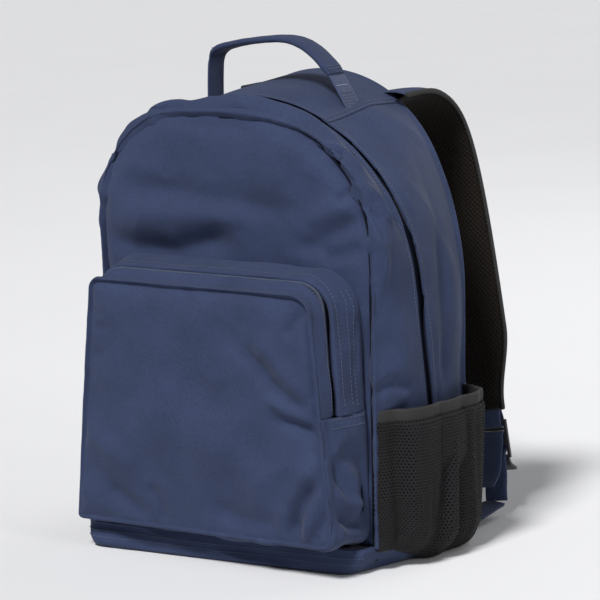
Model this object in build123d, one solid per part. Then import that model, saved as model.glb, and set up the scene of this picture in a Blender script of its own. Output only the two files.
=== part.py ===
"""School backpack: zipped main compartment, zipped front pocket, mesh side pockets and padded straps.

Frame: millimetres, +X to the wearer's right, +Y towards the wearer's back, +Z up. The front pocket faces -Y.
The origin is the centre of the bounding box, on the floor that the bag stands on.
"Depth" below is the distance forward (-Y) from the outside of the back panel.
"""

from build123d import *
import os
from math import atan2, cos, hypot, radians, sin, sqrt

os.makedirs("parts", exist_ok=True)

# --- driving dimensions -------------------------------------------------------------------------
BODY_DEPTH = 160.0  # back panel to front panel
POCKET_DEPTH = 59.5  # front panel to the outside of the front pocket
STRAP_REACH = 119.7  # furthest that the ladder locks stand off the back panel
BACK_Y = (BODY_DEPTH + POCKET_DEPTH - STRAP_REACH) / 2  # puts the bounding box's centre at Y = 0

CLOTH = 1.5  # coated polyester with its seam allowance
FOOT_RADIUS = 18.0  # lower corners of the body
BASE_RIM = 22.0  # height that the base panel turns up the sides
TOE_REACH, TOE_HALF, TOE_RADIUS = 22.0, 146.0, 22.0  # the base carries on forward under the front pocket

# Arch outlines: (half width, height, shoulder radius, crown radius)
REAR_ARCH = (150.0, 442.0, 280.0, 136.0)
FRONT_ARCH = (151.0, 412.0, 112.0, 300.0)
ZIP_RADIUS = 167.0  # the main zip runs over the top in a half circle
ZIP_CENTRE = 266.0  # height of that half circle's centre, along the zip's own plane
ZIP_ARCH = (ZIP_RADIUS, ZIP_CENTRE + ZIP_RADIUS, ZIP_RADIUS, ZIP_RADIUS)
ZIP_TILT = 9.0  # the zip's plane leans forward towards the top, degrees
ZIP_DEPTH = 62.0  # depth of the zip's plane at the floor
ZIP_END = 120.0  # height where the main zip stops, inside the side pockets
ZIP_BAND = 12.0  # flat band each side of a zip

BACK_MESH, BACK_FOAM, BACK_LINING = 3.0, 8.0, 1.0  # layers of the padded back, outside in
YOKE_HALF = 84.0  # half width of the yoke, whose end seams hold the haul loop

# Front pocket outlines: (half width at the foot, half width at the top, foot, top, foot radius, top radius)
POCKET_REAR = (148.0, 138.0, 25.0, 278.0, 20.0, 38.0)
POCKET_ZIP = (147.0, 129.0, 27.0, 271.0, 16.0, 32.0)
POCKET_FRONT = (146.0, 125.0, 30.0, 262.0, 12.0, 24.0)
POCKET_ZIP_DEPTH = 200.0
POCKET_BAND = 8.0
POCKET_SEAM = 150.0  # height of the seam where the pocket's zip ends
POCKET_ZIP_END = 144.0

# Zip stack, measured inwards from the outer face of the cloth
SLIT = 4.0  # gap between the two edges of cloth
COIL_OUT, COIL_IN = 4.1, 6.5
COIL_GAP, COIL_EDGE = 0.7, 3.0  # each half of the coil, from the middle of the zip
TAPE_OUT, TAPE_IN = 4.9, 5.7

# Side pockets
MESH_FOOT, MESH_TOP = 4.0, 150.0
MESH_BULGE = 190.0  # furthest reach from the middle of the bag
MESH_CLOTH = 1.5
BINDING_DROP, BINDING_THICK = 14.0, 3.2

# Shoulder straps, drawn in a leaning plane: first number backwards from the back panel, second up
STRAP_LEAN = 9.0
STRAP_FOOT_X = 130.0  # where the strap's plane meets the floor
STRAP_PATH = [(-6.0, 430.0), (46.0, 431.0), (88.0, 404.0), (105.0, 335.0), (106.0, 105.0)]
STRAP_RADII = [60.0, 45.0, 200.0]
STRAP_HALF, STRAP_END_HALF = 32.0, 17.0
STRAP_TAPER_TOP, STRAP_TAPER_FOOT = 185.0, 105.0
EDGE_TAPE = 2.0
STRAP_LAYERS = {"shell": (4.5, 6.0), "foam": (-4.0, 4.5), "mesh": (-6.0, -4.0)}
SWING_TOP = (36.0, 432.0)  # the strap swings about the line through these two points
SWING_FOOT = (96.5, 12.0)
SWING_END_RADIUS = 34.0

# Ladder lock, from the middle of its ladder bar
LOCK = (108.0, 70.0)
LOCK_THICK, LOCK_HALF, WINDOW_HALF = 2.6, 16.5, 13.4
WEB_HALF, WEB_THICK = 12.5, 1.6
LOCK_BARS = [(20.0, 23.0), (12.0, 15.0), (-2.0, 2.0), (-15.0, -12.0)]
LOCK_WEB = [(3.0, 34.0), (3.0, 17.4), (-3.0, 17.4), (-3.0, 34.0)]
ADJUSTER = [
    (-11.5, -53.5),
    (-6.0, -33.0),
    (-3.4, -13.0),
    (3.3, -3.2),
    (3.3, 3.2),
    (-3.3, 5.2),
    (-8.0, -6.0),
    (-16.0, -24.0),
    (-34.0, -38.0),
]
ADJUSTER_RADII = [40.0, 3.0, 2.0, 1.4, 1.2, 6.0, 12.0]

# Anchor tabs at the lower rear corners
TAB_RISE = 4.0  # slope upwards towards the wearer, degrees
TAB_THICK, TAB_LENGTH, TAB_HEIGHT = 2.4, 97.0, 3.0
TAB_PLAN = [(149.0, 0.3), (104.0, 0.3), (115.3, TAB_LENGTH), (140.3, TAB_LENGTH)]

# Haul loop
HAUL_DEPTH, HAUL_HALF, HAUL_THICK = 70.0, 14.0, 2.4
HAUL_LEG = 82.0
HAUL_PIVOT = 428.0
HAUL_PATH = [
    (-HAUL_LEG, HAUL_PIVOT),
    (-HAUL_LEG, 451.0),
    (-48.0, 477.0),
    (48.0, 477.0),
    (HAUL_LEG, 451.0),
    (HAUL_LEG, HAUL_PIVOT),
]
HAUL_RADII = [14.0, 85.0, 85.0, 14.0]
GRIP_HALF_LENGTH, GRIP_THICK, GRIP_HALF = 60.0, 7.0, 15.5

# Zip sliders
SLIDER_WIDTH, SLIDER_LENGTH, PLATE = 8.6, 11.0, 1.2
CROWN_WIDTH, CROWN_REACH, CROWN_TOP = 2.2, 4.6, 3.8
PIN_HEIGHT, PIN_RADIUS = 1.6, 0.8  # the pull's cross bar stands this far off the cloth
PULL_THICK, PULL_WIDTH, EYE_LENGTH, PULL_LENGTH = 1.4, 8.0, 6.5, 27.0
SLIDER_PITCH = 12.5  # distance between two sliders that meet
PULL_LEAN = 25.0  # the upper pull rests on the slider below it
POCKET_SLIDER_HEIGHT = 160.0

SEAM_TAPE, SEAM_TAPE_WIDTH = 1.2, 8.0
FAR = 600.0  # larger than the bag, for cutting


# --- frames ------------------------------------------------------------------------------------
def depth_plane(depth):
    """Upright plane facing forward, at a depth; its sketch axes are X and Z."""
    return Plane(origin=(0, BACK_Y - depth, 0), x_dir=(1, 0, 0), z_dir=(0, -1, 0))


ZIP_PLANE = Plane(
    origin=(0, BACK_Y - ZIP_DEPTH, 0),
    x_dir=(1, 0, 0),
    z_dir=(0, -cos(radians(ZIP_TILT)), -sin(radians(ZIP_TILT))),
)
POCKET_PLANE = depth_plane(POCKET_ZIP_DEPTH)
STRAP_PLANE = Plane(
    origin=(STRAP_FOOT_X, BACK_Y, 0),
    x_dir=(0, 1, 0),
    z_dir=(cos(radians(STRAP_LEAN)), 0, sin(radians(STRAP_LEAN))),
)


def along(plane, distance):
    """The plane moved forward, level with the floor."""
    return Plane(origin=plane.origin + Vector(0, -distance, 0), x_dir=plane.x_dir, z_dir=plane.z_dir)


# --- outlines ----------------------------------------------------------------------------------
def arch(shape, inset=0.0):
    """Face of an arch on the floor: flat foot, straight sides and a crown of three tangent arcs."""
    half, top, corner, crown = shape
    crown_z = top - crown
    half, corner, crown, foot = half - inset, corner - inset, crown - inset, FOOT_RADIUS - inset
    corner_x, gap = half - corner, crown - corner
    if abs(gap) < 0.1:
        lean, corner_z = (sqrt(0.5), sqrt(0.5)), crown_z
    else:
        rise = sqrt(gap**2 - corner_x**2)
        lean = (abs(corner_x / gap), rise / abs(gap))
        corner_z = crown_z + (rise if gap > 0 else -rise)
    meet = (crown * lean[0], crown_z + crown * lean[1])
    middle = atan2(lean[1], lean[0]) / 2
    bend = (corner_x + corner * cos(middle), corner_z + corner * sin(middle))
    toe = foot * (1 - sqrt(0.5))
    right = [
        ThreePointArc((half - foot, inset), (half - toe, inset + toe), (half, inset + foot)),
        Line((half, inset + foot), (half, corner_z)),
        ThreePointArc((half, corner_z), bend, meet),
    ]
    left = [
        ThreePointArc((-meet[0], meet[1]), (-bend[0], bend[1]), (-half, corner_z)),
        Line((-half, corner_z), (-half, inset + foot)),
        ThreePointArc((-half, inset + foot), (-half + toe, inset + toe), (-half + foot, inset)),
    ]
    over = ThreePointArc(meet, (0, crown_z + crown), (-meet[0], meet[1]))
    under = Line((-half + foot, inset), (half - foot, inset))
    return Face(Wire([*right, over, *left, under]))


def pocket_outline(shape, inset=0.0):
    """Face of the front pocket seen from the front: a rounded trapezium."""
    foot_half, top_half, foot, top, foot_radius, top_radius = shape
    lean = atan2(foot_half - top_half, top - foot)
    step = (top_half - foot_half) / (top - foot)
    side = inset / cos(lean)
    corners = []
    for height, radius in ((foot + inset, foot_radius), (top - inset, top_radius)):
        corners.append((foot_half + step * (height - foot) - side, height, radius - inset))
    (low_x, low_z, low_r), (top_x, top_z, top_r) = corners
    face = make_face(Polyline((-low_x, low_z), (low_x, low_z), (top_x, top_z), (-top_x, top_z), close=True))
    points = face.vertices().sort_by(Axis.Y)
    face = fillet(points[:2], low_r)
    points = face.vertices().sort_by(Axis.Y)
    return fillet(points[-2:], top_r).face()


def parallel(points, radii, shift):
    """The same path moved to its left by shift; its bends keep their centres."""
    unit = []
    for (ax, ay), (bx, by) in zip(points, points[1:]):
        run = hypot(bx - ax, by - ay)
        unit.append(((bx - ax) / run, (by - ay) / run))
    moved = [(points[0][0] - shift * unit[0][1], points[0][1] + shift * unit[0][0])]
    bends = []
    for (x, y), (ux, uy), (vx, vy), radius in zip(points[1:], unit, unit[1:], radii):
        turn = ux * vy - uy * vx
        scale = shift / (1 + ux * vx + uy * vy)
        moved.append((x - scale * (uy + vy), y + scale * (ux + vx)))
        bends.append(radius - shift if turn > 0 else radius + shift)
    end_x, end_y = points[-1]
    moved.append((end_x - shift * unit[-1][1], end_y + shift * unit[-1][0]))
    return moved, bends


def ribbon(points, radii, low, high):
    """Face of a strip that follows a path, from low to high on its left side."""
    sides = []
    for shift in (low, high):
        moved, bends = parallel(points, radii, shift)
        sides.append(FilletPolyline(*moved, radius=bends))
    near, far = sides
    ends = [Line(near @ 0, far @ 0).edge(), Line(near @ 1, far @ 1).edge()]
    return Face(Wire([*near.edges(), *far.edges(), *ends]))


# --- solids ------------------------------------------------------------------------------------
def block(x, y, z):
    """Box from three (low, high) pairs."""
    size = [high - low for low, high in (x, y, z)]
    middle = [(high + low) / 2 for low, high in (x, y, z)]
    return Pos(*middle) * Box(*size)


def above(height):
    return block((-FAR, FAR), (-FAR, FAR), (height, FAR))


def below(height):
    return block((-FAR, FAR), (-FAR, FAR), (-FAR, height))


def slab(plane, low, high):
    """Slice of space between two distances in front of a plane."""
    return plane * block((-FAR, FAR), (-FAR, FAR), (low, high))


def ruled_block(sections):
    """Straight-sided solid through the sections in turn."""
    solid = loft(sections[:2], ruled=True)
    for pair in zip(sections[1:], sections[2:]):
        solid += loft(list(pair), ruled=True)
    return solid


def envelope(inset=0.0):
    """The main compartment as one block, or what is left inside a wall of the given thickness."""
    low, high = along(ZIP_PLANE, -ZIP_BAND), along(ZIP_PLANE, ZIP_BAND)
    sections = [
        depth_plane(0) * arch(REAR_ARCH, inset),
        low * arch(ZIP_ARCH, inset),
        high * arch(ZIP_ARCH, inset),
        depth_plane(BODY_DEPTH) * arch(FRONT_ARCH, inset),
    ]
    return ruled_block(sections)


def pocket_envelope(inset=0.0):
    """The front pocket as one block, or what is left inside its wall."""
    sections = [
        depth_plane(BODY_DEPTH) * pocket_outline(POCKET_REAR, inset),
        depth_plane(POCKET_ZIP_DEPTH - POCKET_BAND) * pocket_outline(POCKET_ZIP, inset),
        depth_plane(POCKET_ZIP_DEPTH + POCKET_BAND) * pocket_outline(POCKET_ZIP, inset),
        depth_plane(BODY_DEPTH + POCKET_DEPTH) * pocket_outline(POCKET_FRONT, inset),
    ]
    return ruled_block(sections)


def ring(plane, outline, shape, outer, inner, low, high):
    """Straight band round an outline, from low to high in front of its plane."""
    face = outline(shape, outer) - outline(shape, inner)
    return extrude(plane.offset(low) * face, high - low)


def zip_chain(plane, outline, shape, band, end):
    """The two halves of the coil and the two tapes of a zip, each above the zip's end."""
    parts = {}
    for side, sign in (("front", 1), ("rear", -1)):
        coil = sorted((sign * COIL_GAP, sign * COIL_EDGE))
        tape = sorted((sign * COIL_EDGE, sign * (band - 1)))
        parts["coil_" + side] = ring(plane, outline, shape, COIL_OUT, COIL_IN, *coil) & above(end)
        parts["tape_" + side] = ring(plane, outline, shape, TAPE_OUT, TAPE_IN, *tape) & above(end)
    return parts


def slider():
    """Slider in its own frame: X across the zip, Y along it, Z out of the cloth, origin on the cloth."""
    top = -COIL_OUT + 0.3 + PLATE
    plate = RectangleRounded(SLIDER_WIDTH, SLIDER_LENGTH, 2.4)
    body = extrude(Pos(0, 0, top - PLATE) * plate, PLATE)
    body += extrude(Pos(0, 0, -COIL_IN - 0.3 - PLATE) * plate, PLATE)
    body += block((-0.5, 0.5), (1.0, 5.0), (-COIL_IN - 0.3, top - PLATE))
    half = CROWN_WIDTH / 2
    crown = block((-half, half), (-CROWN_REACH, CROWN_REACH), (top - PLATE / 2, CROWN_TOP))
    crown -= block((-half, half), (-CROWN_REACH + 1.2, CROWN_REACH - 1.2), (top, CROWN_TOP - 1.0))
    return body + crown


def pull():
    """Pull tab in the slider's frame, lying along -Y, with its cross bar inside the slider's crown."""
    half = PULL_WIDTH / 2
    tab = Pos(0, -(EYE_LENGTH + PULL_LENGTH) / 2, 0) * RectangleRounded(PULL_WIDTH, PULL_LENGTH - EYE_LENGTH, 3.0)
    tab -= Pos(0, -PULL_LENGTH + 5.0, 0) * Circle(1.6)
    body = extrude(Pos(0, 0, PIN_HEIGHT - PULL_THICK / 2) * tab, PULL_THICK)
    for side in (-1, 1):
        arm = sorted((side * 1.8, side * (half - 1.0)))
        body += block(arm, (-EYE_LENGTH - 2.5, 0), (PIN_HEIGHT - PULL_THICK / 2, PIN_HEIGHT + PULL_THICK / 2))
    bar = Pos(0, 0, PIN_HEIGHT) * Rot(0, 90, 0) * Cylinder(PIN_RADIUS, 2 * (half - 1.0))
    return body + bar


def leaned(part, angle):
    """The pull swung outwards about its cross bar."""
    return Pos(0, 0, PIN_HEIGHT) * Rot(-angle, 0, 0) * Pos(0, 0, -PIN_HEIGHT) * part


# --- main compartment --------------------------------------------------------------------------
def toe(inset=0.0):
    """Part of the base that carries on forward under the front pocket."""
    reach = TOE_REACH + 2 * TOE_RADIUS
    plan = RectangleRounded(2 * (TOE_HALF - inset), reach - inset, TOE_RADIUS - inset)
    centre_y = BACK_Y - BODY_DEPTH - TOE_REACH + (reach + inset) / 2
    return extrude(Pos(0, centre_y, inset) * plan, BASE_RIM - 2 * inset)


def main_body():
    inside = envelope(CLOTH) & slab(depth_plane(0), 0, BODY_DEPTH - CLOTH)
    walls = envelope() & slab(depth_plane(0), 0, BODY_DEPTH - CLOTH)
    walls = (walls - inside) & above(BASE_RIM)
    walls -= slab(ZIP_PLANE, -SLIT / 2, SLIT / 2) & above(ZIP_END)
    behind = walls & slab(ZIP_PLANE, -FAR, 0)
    yoke_box = block((-YOKE_HALF, YOKE_HALF), (-FAR, FAR), (330, FAR))
    sides = behind - yoke_box
    parts = {
        "yoke_panel": behind & yoke_box,
        "rear_gusset_right": sides & block((0, FAR), (-FAR, FAR), (0, FAR)),
        "rear_gusset_left": sides & block((-FAR, 0), (-FAR, FAR), (0, FAR)),
        "front_gusset": walls & slab(ZIP_PLANE, 0, FAR),
        "base_panel": ((envelope() & below(BASE_RIM)) + toe()) - (inside + toe(CLOTH)),
        "front_panel": envelope() & slab(depth_plane(0), BODY_DEPTH - CLOTH, BODY_DEPTH) & above(BASE_RIM),
    }
    for name, half in zip_chain(ZIP_PLANE, arch, ZIP_ARCH, ZIP_BAND, ZIP_END - 6).items():
        parts["main_zip_" + name] = half
    return parts


def back_pad():
    """Padded back inside the rear edge of the body: mesh outside, foam, and a lining."""
    room, parts, depth = envelope(CLOTH + 0.3), {}, 0.0
    layers = (("back_panel_mesh", BACK_MESH), ("back_panel_foam", BACK_FOAM), ("back_panel_lining", BACK_LINING))
    for name, thickness in layers:
        parts[name] = room & slab(depth_plane(0), depth, depth + thickness)
        depth += thickness
    return parts


def seam_tapes():
    """Bias tape over the raw seams inside the bag and the front pocket."""
    gap = CLOTH + 0.3
    binding = envelope(gap) - envelope(gap + SEAM_TAPE)
    front_end, rear_end = BODY_DEPTH - CLOTH, BACK_MESH + BACK_FOAM + BACK_LINING
    pocket = pocket_envelope(gap) - pocket_envelope(gap + SEAM_TAPE)
    return {
        "seam_tape_front": binding & slab(depth_plane(0), front_end - SEAM_TAPE_WIDTH, front_end),
        "seam_tape_rear": binding & slab(depth_plane(0), rear_end, rear_end + SEAM_TAPE_WIDTH),
        "seam_tape_pocket": pocket & slab(depth_plane(0), BODY_DEPTH, BODY_DEPTH + SEAM_TAPE_WIDTH),
    }


# --- front pocket ------------------------------------------------------------------------------
def front_pocket():
    walls = (pocket_envelope() - pocket_envelope(CLOTH)) & slab(depth_plane(0), 0, BODY_DEPTH + POCKET_DEPTH - CLOTH)
    upper = (walls & above(POCKET_SEAM)) - slab(POCKET_PLANE, -SLIT / 2, SLIT / 2)
    parts = {
        "pocket_gusset_rear": upper & slab(POCKET_PLANE, -FAR, 0),
        "pocket_gusset_front": upper & slab(POCKET_PLANE, 0, FAR),
        "pocket_gusset_lower": walls & below(POCKET_SEAM),
        "pocket_panel": pocket_envelope() & slab(depth_plane(BODY_DEPTH + POCKET_DEPTH), -CLOTH, 0),
    }
    for name, half in zip_chain(POCKET_PLANE, pocket_outline, POCKET_ZIP, POCKET_BAND, POCKET_ZIP_END).items():
        parts["pocket_zip_" + name] = half
    return parts


# --- zip hardware ------------------------------------------------------------------------------
def slider_frames():
    """Frame of each slider on the left side: X across the zip, Y up along it, Z out of the cloth."""
    across = ZIP_PLANE.z_dir
    meet = ZIP_PLANE.from_local_coords(Vector(-ZIP_RADIUS, ZIP_CENTRE, 0))
    lower = ZIP_PLANE.from_local_coords(Vector(-ZIP_RADIUS, ZIP_CENTRE - SLIDER_PITCH, 0))
    foot_half, top_half, foot, top = POCKET_ZIP[:4]
    lean = atan2(foot_half - top_half, top - foot)
    reach = foot_half - (POCKET_SLIDER_HEIGHT - foot) * (foot_half - top_half) / (top - foot)
    pocket = POCKET_PLANE.from_local_coords(Vector(-reach, POCKET_SLIDER_HEIGHT, 0))
    return {
        "main_zip_upper": Plane(origin=meet, x_dir=across, z_dir=(-1, 0, 0)),
        "main_zip_lower": Plane(origin=lower, x_dir=across, z_dir=(-1, 0, 0)),
        "pocket_zip": Plane(origin=pocket, x_dir=POCKET_PLANE.z_dir, z_dir=(-cos(lean), 0, sin(lean))),
    }


def zip_hardware():
    parts = {}
    for name, frame in slider_frames().items():
        turn = 180 if name == "main_zip_lower" else 0
        lean = PULL_LEAN if name == "main_zip_upper" else 0
        parts[name + "_slider"] = frame * Rot(0, 0, turn) * slider()
        parts[name + "_pull"] = frame * leaned(pull(), lean)
    return parts


# --- side pockets ------------------------------------------------------------------------------
def side_bulge(height, reach, low, high):
    """Strip of cloth round the side pocket at a height, from low to high outside its inner face."""
    path = [
        (140.0, BACK_Y - 5),
        (reach - 5, BACK_Y - 8),
        (reach, BACK_Y - 68),
        (reach - 9, BACK_Y - 140),
        (142.0, BACK_Y - 156),
    ]
    return Pos(0, 0, height) * ribbon(path, [14.0, 300.0, 14.0], low, high)


def side_pocket():
    """Mesh pocket on the right side, open at its top, with an elastic edge."""
    edge = MESH_TOP - BINDING_DROP
    reach = MESH_BULGE - BINDING_THICK
    foot, full, top = reach - 11, reach, reach - 3
    body = envelope(-0.3)
    lower = loft([side_bulge(MESH_FOOT, foot, 0, MESH_CLOTH), side_bulge(50, full, 0, MESH_CLOTH)], ruled=True)
    upper = loft([side_bulge(50, full, 0, MESH_CLOTH), side_bulge(edge, top, 0, MESH_CLOTH)], ruled=True)
    binding = extrude(side_bulge(edge, top, 0, BINDING_THICK), BINDING_DROP)
    return {"side_mesh": (lower + upper) - body, "side_binding": binding - body}


# --- shoulder straps ---------------------------------------------------------------------------
def strap_envelope(trim):
    """Room that a strap keeps to, seen from behind, with a round root centred on the swing line."""
    wide, narrow = STRAP_HALF - trim, STRAP_END_HALF - trim
    foot = STRAP_TAPER_FOOT + trim
    right = [(narrow, foot), (wide, STRAP_TAPER_TOP), (wide, FAR)]
    left = [(-x, z) for x, z in reversed(right)]
    outline = Polyline(*left, *right, close=True)
    behind = Plane(origin=STRAP_PLANE.origin, x_dir=STRAP_PLANE.z_dir, z_dir=-STRAP_PLANE.x_dir)
    room = extrude(behind * make_face(outline), FAR, both=True)
    axis = Vector(SWING_TOP[0] - SWING_FOOT[0], SWING_TOP[1] - SWING_FOOT[1], 0)
    root = Plane(origin=(*SWING_TOP, 0), x_dir=(0, 0, 1), z_dir=axis)
    fan = root * Cylinder(SWING_END_RADIUS - trim, 120)
    rest = block((SWING_TOP[0], FAR), (-FAR, FAR), (-FAR, FAR))
    return room & (STRAP_PLANE * (fan + rest))


def strap():
    inner, outer = strap_envelope(EDGE_TAPE), strap_envelope(0)
    parts = {}
    for name, (low, high) in STRAP_LAYERS.items():
        layer = extrude(STRAP_PLANE * ribbon(STRAP_PATH, STRAP_RADII, low, high), STRAP_HALF, both=True)
        parts["strap_" + name] = layer & inner
    low, high = STRAP_LAYERS["mesh"][0], STRAP_LAYERS["shell"][1]
    whole = extrude(STRAP_PLANE * ribbon(STRAP_PATH, STRAP_RADII, low, high), STRAP_HALF, both=True)
    parts["strap_edge_tape"] = (whole & outer) - inner
    return parts


def ladder_lock():
    """Flat frame with four bars; its lowest bar turns outwards as a thumb tab."""
    half = LOCK_THICK / 2
    top, foot = LOCK_BARS[0][1], LOCK_BARS[-1][0]
    frame = block((-half, half), (foot, top), (-LOCK_HALF, LOCK_HALF))
    for (low, _), (_, high) in zip(LOCK_BARS, LOCK_BARS[1:]):
        frame -= block((-half, half), (high, low), (-WINDOW_HALF, WINDOW_HALF))
    tab_path = [(0.0, foot + 0.5), (0.0, foot - 6.0), (11.0, foot - 13.0)]
    tab = extrude(ribbon(tab_path, [9.0], -half, half), LOCK_HALF - 2, both=True)
    return frame + tab


def lock_frame():
    return STRAP_PLANE * Location((LOCK[0], LOCK[1], 0))


def strap_hardware():
    frame = lock_frame()
    loop = extrude(ribbon(LOCK_WEB, [2.0, 2.0], -WEB_THICK / 2, WEB_THICK / 2), WEB_HALF, both=True)
    loop &= block((-FAR, FAR), (-FAR, STRAP_TAPER_FOOT - LOCK[1] - 0.8), (-FAR, FAR))
    web = extrude(ribbon(ADJUSTER, ADJUSTER_RADII, -WEB_THICK / 2, WEB_THICK / 2), WEB_HALF, both=True)
    slope = (0, cos(radians(TAB_RISE)), sin(radians(TAB_RISE)))
    upright = Vector(1, 0, 0).cross(Vector(*slope))
    tab_plane = Plane(origin=(0, BACK_Y + 0.3, TAB_HEIGHT), x_dir=(1, 0, 0), z_dir=upright)
    tab = extrude(tab_plane * make_face(Polyline(*TAB_PLAN, close=True)), TAB_THICK)
    return {
        "lock_webbing": frame * loop,
        "ladder_lock": frame * ladder_lock(),
        "adjuster_webbing": frame * web,
        "anchor_tab": tab,
    }


# --- haul loop ---------------------------------------------------------------------------------
def haul_loop():
    """Webbing loop that turns about the line through its two ends; the sewn ends lap inside it."""
    plane = depth_plane(HAUL_DEPTH)
    half = HAUL_THICK / 2
    web = extrude(plane * ribbon(HAUL_PATH, HAUL_RADII, -half, half), HAUL_HALF, both=True)
    grip = extrude(plane * ribbon(HAUL_PATH, HAUL_RADII, -GRIP_THICK / 2, GRIP_THICK / 2), GRIP_HALF, both=True)
    grip &= block((-GRIP_HALF_LENGTH, GRIP_HALF_LENGTH), (-FAR, FAR), (0, FAR))
    grip -= extrude(plane * ribbon(HAUL_PATH, HAUL_RADII, -half - 0.1, half + 0.1), HAUL_HALF + 0.1, both=True)
    ends = []
    turn = Pos(0, BACK_Y - HAUL_DEPTH, HAUL_PIVOT) * Rot(0, 90, 0)
    for side in (-1, 1):
        web += Pos(side * HAUL_LEG, 0, 0) * turn * Cylinder(HAUL_HALF, HAUL_THICK)
        lap = Pos(side * (HAUL_LEG - HAUL_THICK - 0.6), 0, 0) * turn * Cylinder(HAUL_HALF, HAUL_THICK)
        x = sorted((side * (HAUL_LEG - half - 0.6), side * (HAUL_LEG - 3 * half - 0.6)))
        y = (BACK_Y - HAUL_DEPTH - HAUL_HALF, BACK_Y - HAUL_DEPTH + HAUL_HALF)
        ends.append(lap + block(x, y, (400.0, HAUL_PIVOT)))
    body = envelope()
    return {"haul_webbing": web, "haul_grip": grip, "haul_webbing_ends": Compound([end - body for end in ends])}


# --- all together ------------------------------------------------------------------------------
def write(name, shape):
    solids = shape.solids()
    export_step(solids[0] if len(solids) == 1 else Compound(solids), f"parts/{name}.step")


def main():
    for name in os.listdir("parts"):
        os.remove(os.path.join("parts", name))
    for group in (main_body(), back_pad(), seam_tapes(), front_pocket(), zip_hardware(), haul_loop()):
        for name, shape in group.items():
            write(name, shape)
    for name, shape in {**side_pocket(), **strap(), **strap_hardware()}.items():
        write(name + "_right", shape)
        write(name + "_left", mirror(shape, Plane.YZ))


main()
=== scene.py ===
"""Looks of the school backpack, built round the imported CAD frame. Metres, +Z up, front pocket to -Y."""

import math

import bpy
import numpy as np
from mathutils import Matrix, Vector, noise
from mathutils.geometry import delaunay_2d_cdt


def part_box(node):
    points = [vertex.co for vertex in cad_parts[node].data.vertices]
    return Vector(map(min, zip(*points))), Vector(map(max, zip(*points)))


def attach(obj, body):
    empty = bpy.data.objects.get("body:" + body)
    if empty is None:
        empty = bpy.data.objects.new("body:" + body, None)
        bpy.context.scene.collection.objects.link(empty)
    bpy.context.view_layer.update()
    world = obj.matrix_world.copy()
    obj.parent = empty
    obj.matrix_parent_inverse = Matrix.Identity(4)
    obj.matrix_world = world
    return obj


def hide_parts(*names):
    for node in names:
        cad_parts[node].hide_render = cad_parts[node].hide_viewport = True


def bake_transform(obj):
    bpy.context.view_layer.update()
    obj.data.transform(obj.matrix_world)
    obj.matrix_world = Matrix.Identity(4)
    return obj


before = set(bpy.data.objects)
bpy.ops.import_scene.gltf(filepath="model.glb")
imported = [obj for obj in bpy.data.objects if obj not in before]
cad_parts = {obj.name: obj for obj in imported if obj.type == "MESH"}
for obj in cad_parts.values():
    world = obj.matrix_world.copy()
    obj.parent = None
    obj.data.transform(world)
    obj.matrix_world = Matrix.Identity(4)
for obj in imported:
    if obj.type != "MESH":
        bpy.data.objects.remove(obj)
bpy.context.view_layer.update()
MM = 0.001

# --- main dimensions, from the frame -------------------------------------------------------------
BACK_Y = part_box("back_panel_mesh")[1].y
FRONT_LOW, FRONT_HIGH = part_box("front_panel")
FRONT_Y, RIM = FRONT_LOW.y, FRONT_LOW.z
FRONT_HALF, FRONT_TOP = FRONT_HIGH.x, FRONT_HIGH.z
POCKET_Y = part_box("pocket_panel")[0].y
REAR_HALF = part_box("back_panel_mesh")[1].x + 1.8 * MM
REAR_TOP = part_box("yoke_panel")[1].z
ZIP_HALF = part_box("front_gusset")[1].x
YOKE_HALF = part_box("yoke_panel")[1].x

# Arch outlines: (half width, top, shoulder radius, crown radius)
REAR_ARCH = (REAR_HALF, REAR_TOP, 280 * MM, 136 * MM)
FRONT_ARCH = (FRONT_HALF, FRONT_TOP, 112 * MM, 300 * MM)
ZIP_ARCH = (ZIP_HALF, ZIP_HALF + 266 * MM, ZIP_HALF, ZIP_HALF)
ZIP_TILT = math.radians(9)
ZIP_SETBACK = 62 * MM
ZIP_END = 120 * MM
ARCH_POINTS = 361

# Front pocket outlines: (half width at the foot, at the top, foot, top, foot radius, top radius)
POCKET_REAR = (148 * MM, 138 * MM, 25 * MM, 278 * MM, 20 * MM, 38 * MM)
POCKET_ZIP = (147 * MM, 129 * MM, 27 * MM, 271 * MM, 16 * MM, 32 * MM)
POCKET_FRONT = (146 * MM, 125 * MM, 30 * MM, 262 * MM, 12 * MM, 24 * MM)
POCKET_ZIP_Y = BACK_Y - 200 * MM
POCKET_SEAM = 150 * MM

# Shoulder straps, in their leaning plane: u backwards from the back panel, v up, w outwards
STRAP_LEAN = math.radians(9)
STRAP_FOOT_X = 130 * MM
STRAP_HALF, STRAP_END_HALF = 32 * MM, 17 * MM
TAPER_TOP, TAPER_FOOT = 185 * MM, 108 * MM
LOCK = (108, 70)  # millimetres
LEAN_SIN, LEAN_COS = math.sin(STRAP_LEAN), math.cos(STRAP_LEAN)

HAUL_Y = (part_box("haul_webbing")[0].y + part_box("haul_webbing")[1].y) / 2

# Cloth and thread
CLOTH = 1.1 * MM
POCKET_CLOTH = 1.0 * MM
SEWN_LIFT = 0.15 * MM  # thread above the cloth
STITCH, STITCH_GAP, THREAD = 2.7 * MM, 1.2 * MM, 0.75 * MM
WEB_WIDTH, WEB_THICKNESS = 25 * MM, 1.5 * MM


# --- outlines and surfaces -----------------------------------------------------------------------
def lengths(line):
    """Length along a polyline up to each of its points."""
    return np.r_[0, np.cumsum(np.linalg.norm(np.diff(line, axis=0), axis=1))]


def at_lengths(line, run, at):
    """Points of a polyline at some lengths along it; run is the length up to each point."""
    return np.stack([np.interp(at, run, line[:, k]) for k in range(line.shape[1])], -1)


def resample(line, count):
    """The same polyline with evenly spaced points."""
    line = np.asarray(line, float)
    run = lengths(line)
    return at_lengths(line, run, np.linspace(0, run[-1], count))


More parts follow.
